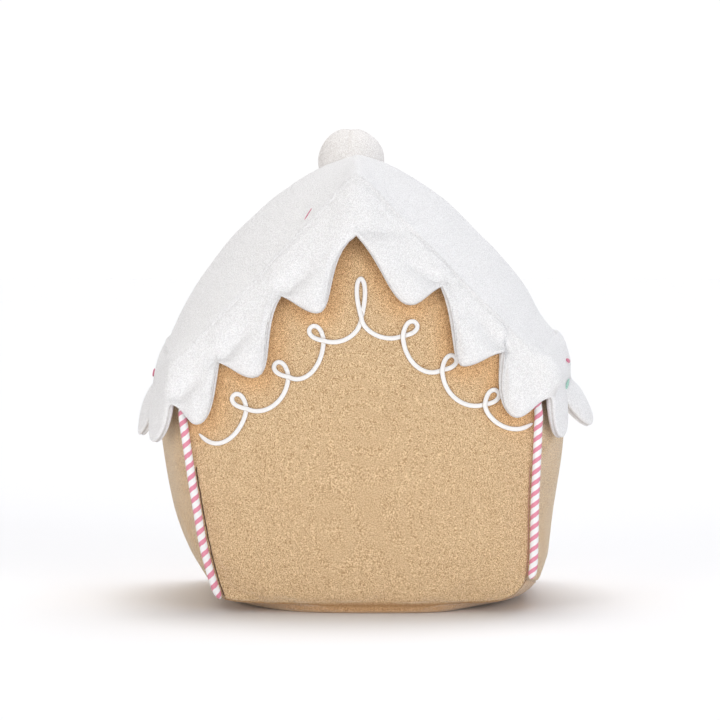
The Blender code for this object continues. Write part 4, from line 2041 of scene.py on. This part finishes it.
@dataclass(frozen=True)
class Sprinkle:
    """One embroidered sprinkle: a short satin dash on the cover."""

    above: Vector
    inward: Vector
    turn: float
    pink: bool
    length: float = 0.0085
    width: float = 0.0021
    thickness: float = 0.0010
    sunk: float = 0.35
    rings: int = 20
    sides: int = 10

    def stitch(self, cover: BVHTree) -> Mesh:
        """Lays the dash on the cover.

        Args:
            cover: The cover's surface.

        Returns:
            The dash's mesh.
        """
        spot, normal, _, _ = cover.ray_cast(self.above, self.inward)
        level = Vector((0.0, 1.0, 0.0)).cross(normal).normalized()
        lengthwise = Matrix.Rotation(self.turn, 3, normal) @ level
        across = normal.cross(lengthwise)

        def place(share: float, angle: float) -> Vector:
            """Lays a point of the rounded dash on the cover.

            Args:
                share: How far along it, from 0 to 1.
                angle: The turn round it, in radians.

            Returns:
                The point.
            """
            step = (share - 0.5) * self.length
            taper = math.sqrt(max(0.01, 1.0 - abs(2.0 * share - 1.0) ** 3))
            sideways = across * self.width / 2.0 * math.cos(angle) * taper
            under = cover.find_nearest(spot + lengthwise * step + sideways)[0]
            return under + normal * (self.thickness * (self.sunk + 0.5 * math.sin(angle) * taper))

        return swept_tube(self.rings, self.sides, place, lambda share: share * self.length)


@dataclass(frozen=True)
class SprinkleField:
    """The sprinkles scattered over both slopes, in two colours."""

    form: HouseForm
    cover: BVHTree
    start: float = 0.03
    far_out: float = 0.15
    turns: tuple[float, float, float] = (0.7, 2.1, 0.4)
    slope_spots: tuple[Flat, ...] = (
        (0.30, 0.72),
        (0.54, 0.68),
        (0.78, 0.72),
        (0.42, 0.86),
        (0.66, 0.84),
        (0.88, 0.78),
    )
    skirt_spots: tuple[tuple[Side, float, float, float, bool], ...] = (
        (Side.LEFT, 0.36, 0.1060, 1.25, True),
        (Side.LEFT, 0.60, 0.1010, 1.20, False),
        (Side.LEFT, 0.84, 0.1050, 0.90, True),
        (Side.RIGHT, 0.285, 0.1120, 1.40, True),
        (Side.RIGHT, 0.25, 0.1015, -1.10, False),
        (Side.RIGHT, 0.62, 0.1060, 0.60, False),
        (Side.RIGHT, 0.84, 0.1040, -0.80, True),
    )

    def _on_slope(self, a: float, v: float, turn: float, pink: bool, **sizes: float) -> Sprinkle:
        """Returns a dash on a slope, at a and v."""
        out = self.form.roof_normal(a, v)
        return Sprinkle(self.form.roof_point(a, v) + out * self.start, -out, turn, pink, **sizes)

    def _on_skirt(self, side: Side, v: float, z: float, turn: float, pink: bool) -> Sprinkle:
        """Places a dash on the skirt under an eave.

        Args:
            side: Which eave.
            v: The depth share.
            z: The height.
            turn: Its turn on the cloth, in radians.
            pink: Whether it is pink.

        Returns:
            The dash.
        """
        reach = self.form.half_depth
        above = Vector((side.value * self.far_out, mix(-reach, reach, v), z))
        return Sprinkle(above, Vector((-side.value, 0.0, 0.0)), turn, pink)

    def _dashes(self) -> list[Sprinkle]:
        """Returns every dash: a few by the front seam and the eaves, the rest behind the crown."""
        dashes = []
        first, step, apart = self.turns
        for side in Side:
            for index, (a, v) in enumerate(self.slope_spots):
                turn = first + step * index + side.value * apart
                dashes.append(self._on_slope(side.value * a, v, turn, index % 2 == 0))
        sizes = {"length": 0.0065, "width": 0.0006, "thickness": 0.0004}
        dashes.append(self._on_slope(-0.238, 0.012, 0.42, True, **sizes))
        dashes.extend(self._on_skirt(*spot) for spot in self.skirt_spots)
        return dashes

    def build(self, pink: Material, mint: Material) -> list[Piece]:
        """Stitches the sprinkles.

        Args:
            pink: The material of the pink dashes.
            mint: The material of the mint dashes.

        Returns:
            One piece for each colour.
        """
        pieces = []
        for name, wanted, finish in (("pink", True, pink), ("mint", False, mint)):
            joined = bmesh.new()
            for dash in (dash for dash in self._dashes() if dash.pink is wanted):
                single = dash.stitch(self.cover)
                holder = bpy.data.meshes.new("dash")
                single.to_mesh(holder)
                single.free()
                joined.from_mesh(holder)
                bpy.data.meshes.remove(holder)
            pieces.append(finished_piece(f"sprinkles_{name}", joined, finish))
        return pieces


# Studio


@dataclass(frozen=True)
class Lamp:
    """One broad studio light; azimuth 0 is in front and 90 on the right, in degrees."""

    name: str
    azimuth: float
    elevation: float
    strength: float
    softness: float
    tint: Colour = WHITE

    def direction(self) -> Vector:
        """Returns the direction from the toy to the light."""
        turn, rise = math.radians(self.azimuth), math.radians(self.elevation)
        level = math.cos(rise)
        return Vector((math.sin(turn) * level, -math.cos(turn) * level, math.sin(rise)))


@dataclass(frozen=True)
class Studio:
    """White sweep, soft lights and the camera in front of the toy."""

    middle_x: float
    distance: float = 1.5
    elevation: float = math.radians(3.0)
    turning_height: float = 0.108
    aim: Flat = (-0.0021, 0.1110)
    focal: float = 159.6
    sensor: float = 36.0
    ambient: float = 0.22
    backdrop: float = 1.02
    lamps: tuple[Lamp, ...] = (
        Lamp("back_top", 180.0, 78.0, 0.94, 30.0),
        Lamp("back_left", -140.0, 60.0, 0.50, 40.0, (1.04, 1.00, 0.95)),
        Lamp("back_right", 140.0, 60.0, 0.75, 40.0, (0.97, 0.99, 1.05)),
        Lamp("top", 0.0, 89.0, 0.16, 50.0),
        Lamp("front", 0.0, 15.0, 0.30, 30.0),
        Lamp("front_left", -38.0, 14.0, 0.56, 30.0, (1.05, 1.00, 0.94)),
        Lamp("front_right", 35.0, 12.0, 0.90, 30.0, (0.99, 1.00, 1.01)),
        Lamp("left", -62.0, 12.0, 0.30, 40.0, (1.05, 1.00, 0.94)),
        Lamp("right", 60.0, 20.0, 0.16, 40.0, (0.94, 0.98, 1.09)),
    )

    def _floor(self) -> None:
        """Lays the sweep."""
        bm = bmesh.new()
        bmesh.ops.create_grid(bm, x_segments=2, y_segments=2, size=6.0)
        floor = finished_piece("studio_floor", bm, SWEEP.material())

    def _light(self, lamp: Lamp) -> None:
        """Hangs one broad soft light, far away.

        Args:
            lamp: Which light.
        """
        light = bpy.data.lights.new(lamp.name, "SUN")
        light.angle = math.radians(lamp.softness)
        light.energy = lamp.strength
        light.color = lamp.tint
        holder = bpy.data.objects.new(lamp.name, light)
        holder.rotation_euler = (-lamp.direction()).to_track_quat("-Z", "Y").to_euler()
        bpy.context.scene.collection.objects.link(holder)

    def _world(self) -> None:
        """Surrounds the toy with soft light, and shows plain white behind it."""
        graph = Graph(bpy.data.worlds.new("studio_world"))
        bpy.context.scene.world = graph.owner
        seen = [
            graph.node("ShaderNodeBackground", inputs={"Color": colour, "Strength": strength})
            for colour, strength in (((1.0, 1.0, 1.02), self.ambient), (WHITE, self.backdrop))
        ]
        by_camera = graph.node("ShaderNodeLightPath", output="Is Camera Ray")
        inputs = {"Fac": by_camera, 1: seen[0], 2: seen[1]}
        choose = graph.node("ShaderNodeMixShader", inputs=inputs)
        graph.feed(graph.tree.nodes["World Output"].inputs["Surface"], choose)

    def _camera(self) -> None:
        """Puts the camera in front of the toy, a little above its middle."""
        lens = bpy.data.cameras.new("camera")
        lens.lens = self.focal
        lens.sensor_width = self.sensor
        holder = bpy.data.objects.new("camera", lens)
        flat = self.distance * math.cos(self.elevation)
        height = self.turning_height + self.distance * math.sin(self.elevation)
        holder.location = (self.middle_x, -flat, height)
        target = Vector((self.middle_x + self.aim[0], 0.0, self.aim[1]))
        holder.rotation_euler = (target - holder.location).to_track_quat("-Z", "Y").to_euler()
        bpy.context.scene.collection.objects.link(holder)
        bpy.context.scene.camera = holder

    def build(self) -> None:
        """Sets up the whole studio."""
        self._floor()
        self._world()
        for lamp in self.lamps:
            self._light(lamp)
        self._camera()
        bpy.context.scene.view_settings.view_transform = "Standard"


def main() -> None:
    """Builds the toy's pieces in order, and puts each into the frame."""
    logging.basicConfig(level=logging.INFO, format="%(name)s: %(message)s")
    form = HouseForm()
    low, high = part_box("pompom")
    ball_middle = (low + high) / 2.0
    ball = Pompom((high.x - low.x) / 2.0, Vector((form.ball_x, 0.0, form.ball_z)))
    shift = Matrix.Translation((ball_middle.x - ball.centre.x, 0.0, 0.0))
    line = IcingLine(form)
    white_stitch = WHITE_STITCH.material()
    pieces: list[Piece] = []

    icing = IcingCover(form)
    block, ground = FleeceBlock(form, line).build(FLEECE.material(), icing.gable_edge())
    hand_over(block, "tan_fleece", ["body"])
    cover, cover_tree = icing.build(ICING.material())
    hand_over(cover, "icing_plush", ["roof"])
    pompom = ball.build(CREAM.material())
    hand_over(pompom, "pompom_plush", ["pompom"])
    pieces += [block, cover, pompom]

    stripe = CANDY_STRIPE.material()
    # Dark lines in the cord seams, as painted shade of the gap.
    seams = {Side.LEFT: DEEP_SEAM_SHADE.material(), Side.RIGHT: SOFT_SEAM_SHADE.material()}
    for end in End:
        stitched = line.build(end, ground, white_stitch)
        hand_over(stitched, "icing_thread", [f"embroidery_{end.name.lower()}"])
        pieces.append(stitched)
        for side in Side:
            cord = PipingCord(form, side, end).build(stripe)
            hand_over(cord, "piping_stripe", [corner_name("piping", end, side)])
            thread = SeamShadeLine(form, side, end).build(ground, seams[side])
            hand_over(thread, "tan_fleece", [])
            pieces += [cord, thread]
    pink, mint = PINK_STITCH.material(), MINT_STITCH.material()
    for dashes in SprinkleField(form, cover_tree).build(pink, mint):
        hand_over(dashes, "icing_thread", [])
        pieces.append(dashes)
    for piece in pieces:
        piece.data.transform(shift)
    Studio(middle_x=shift.translation.x).build()


if __name__ == "__main__":
    main()
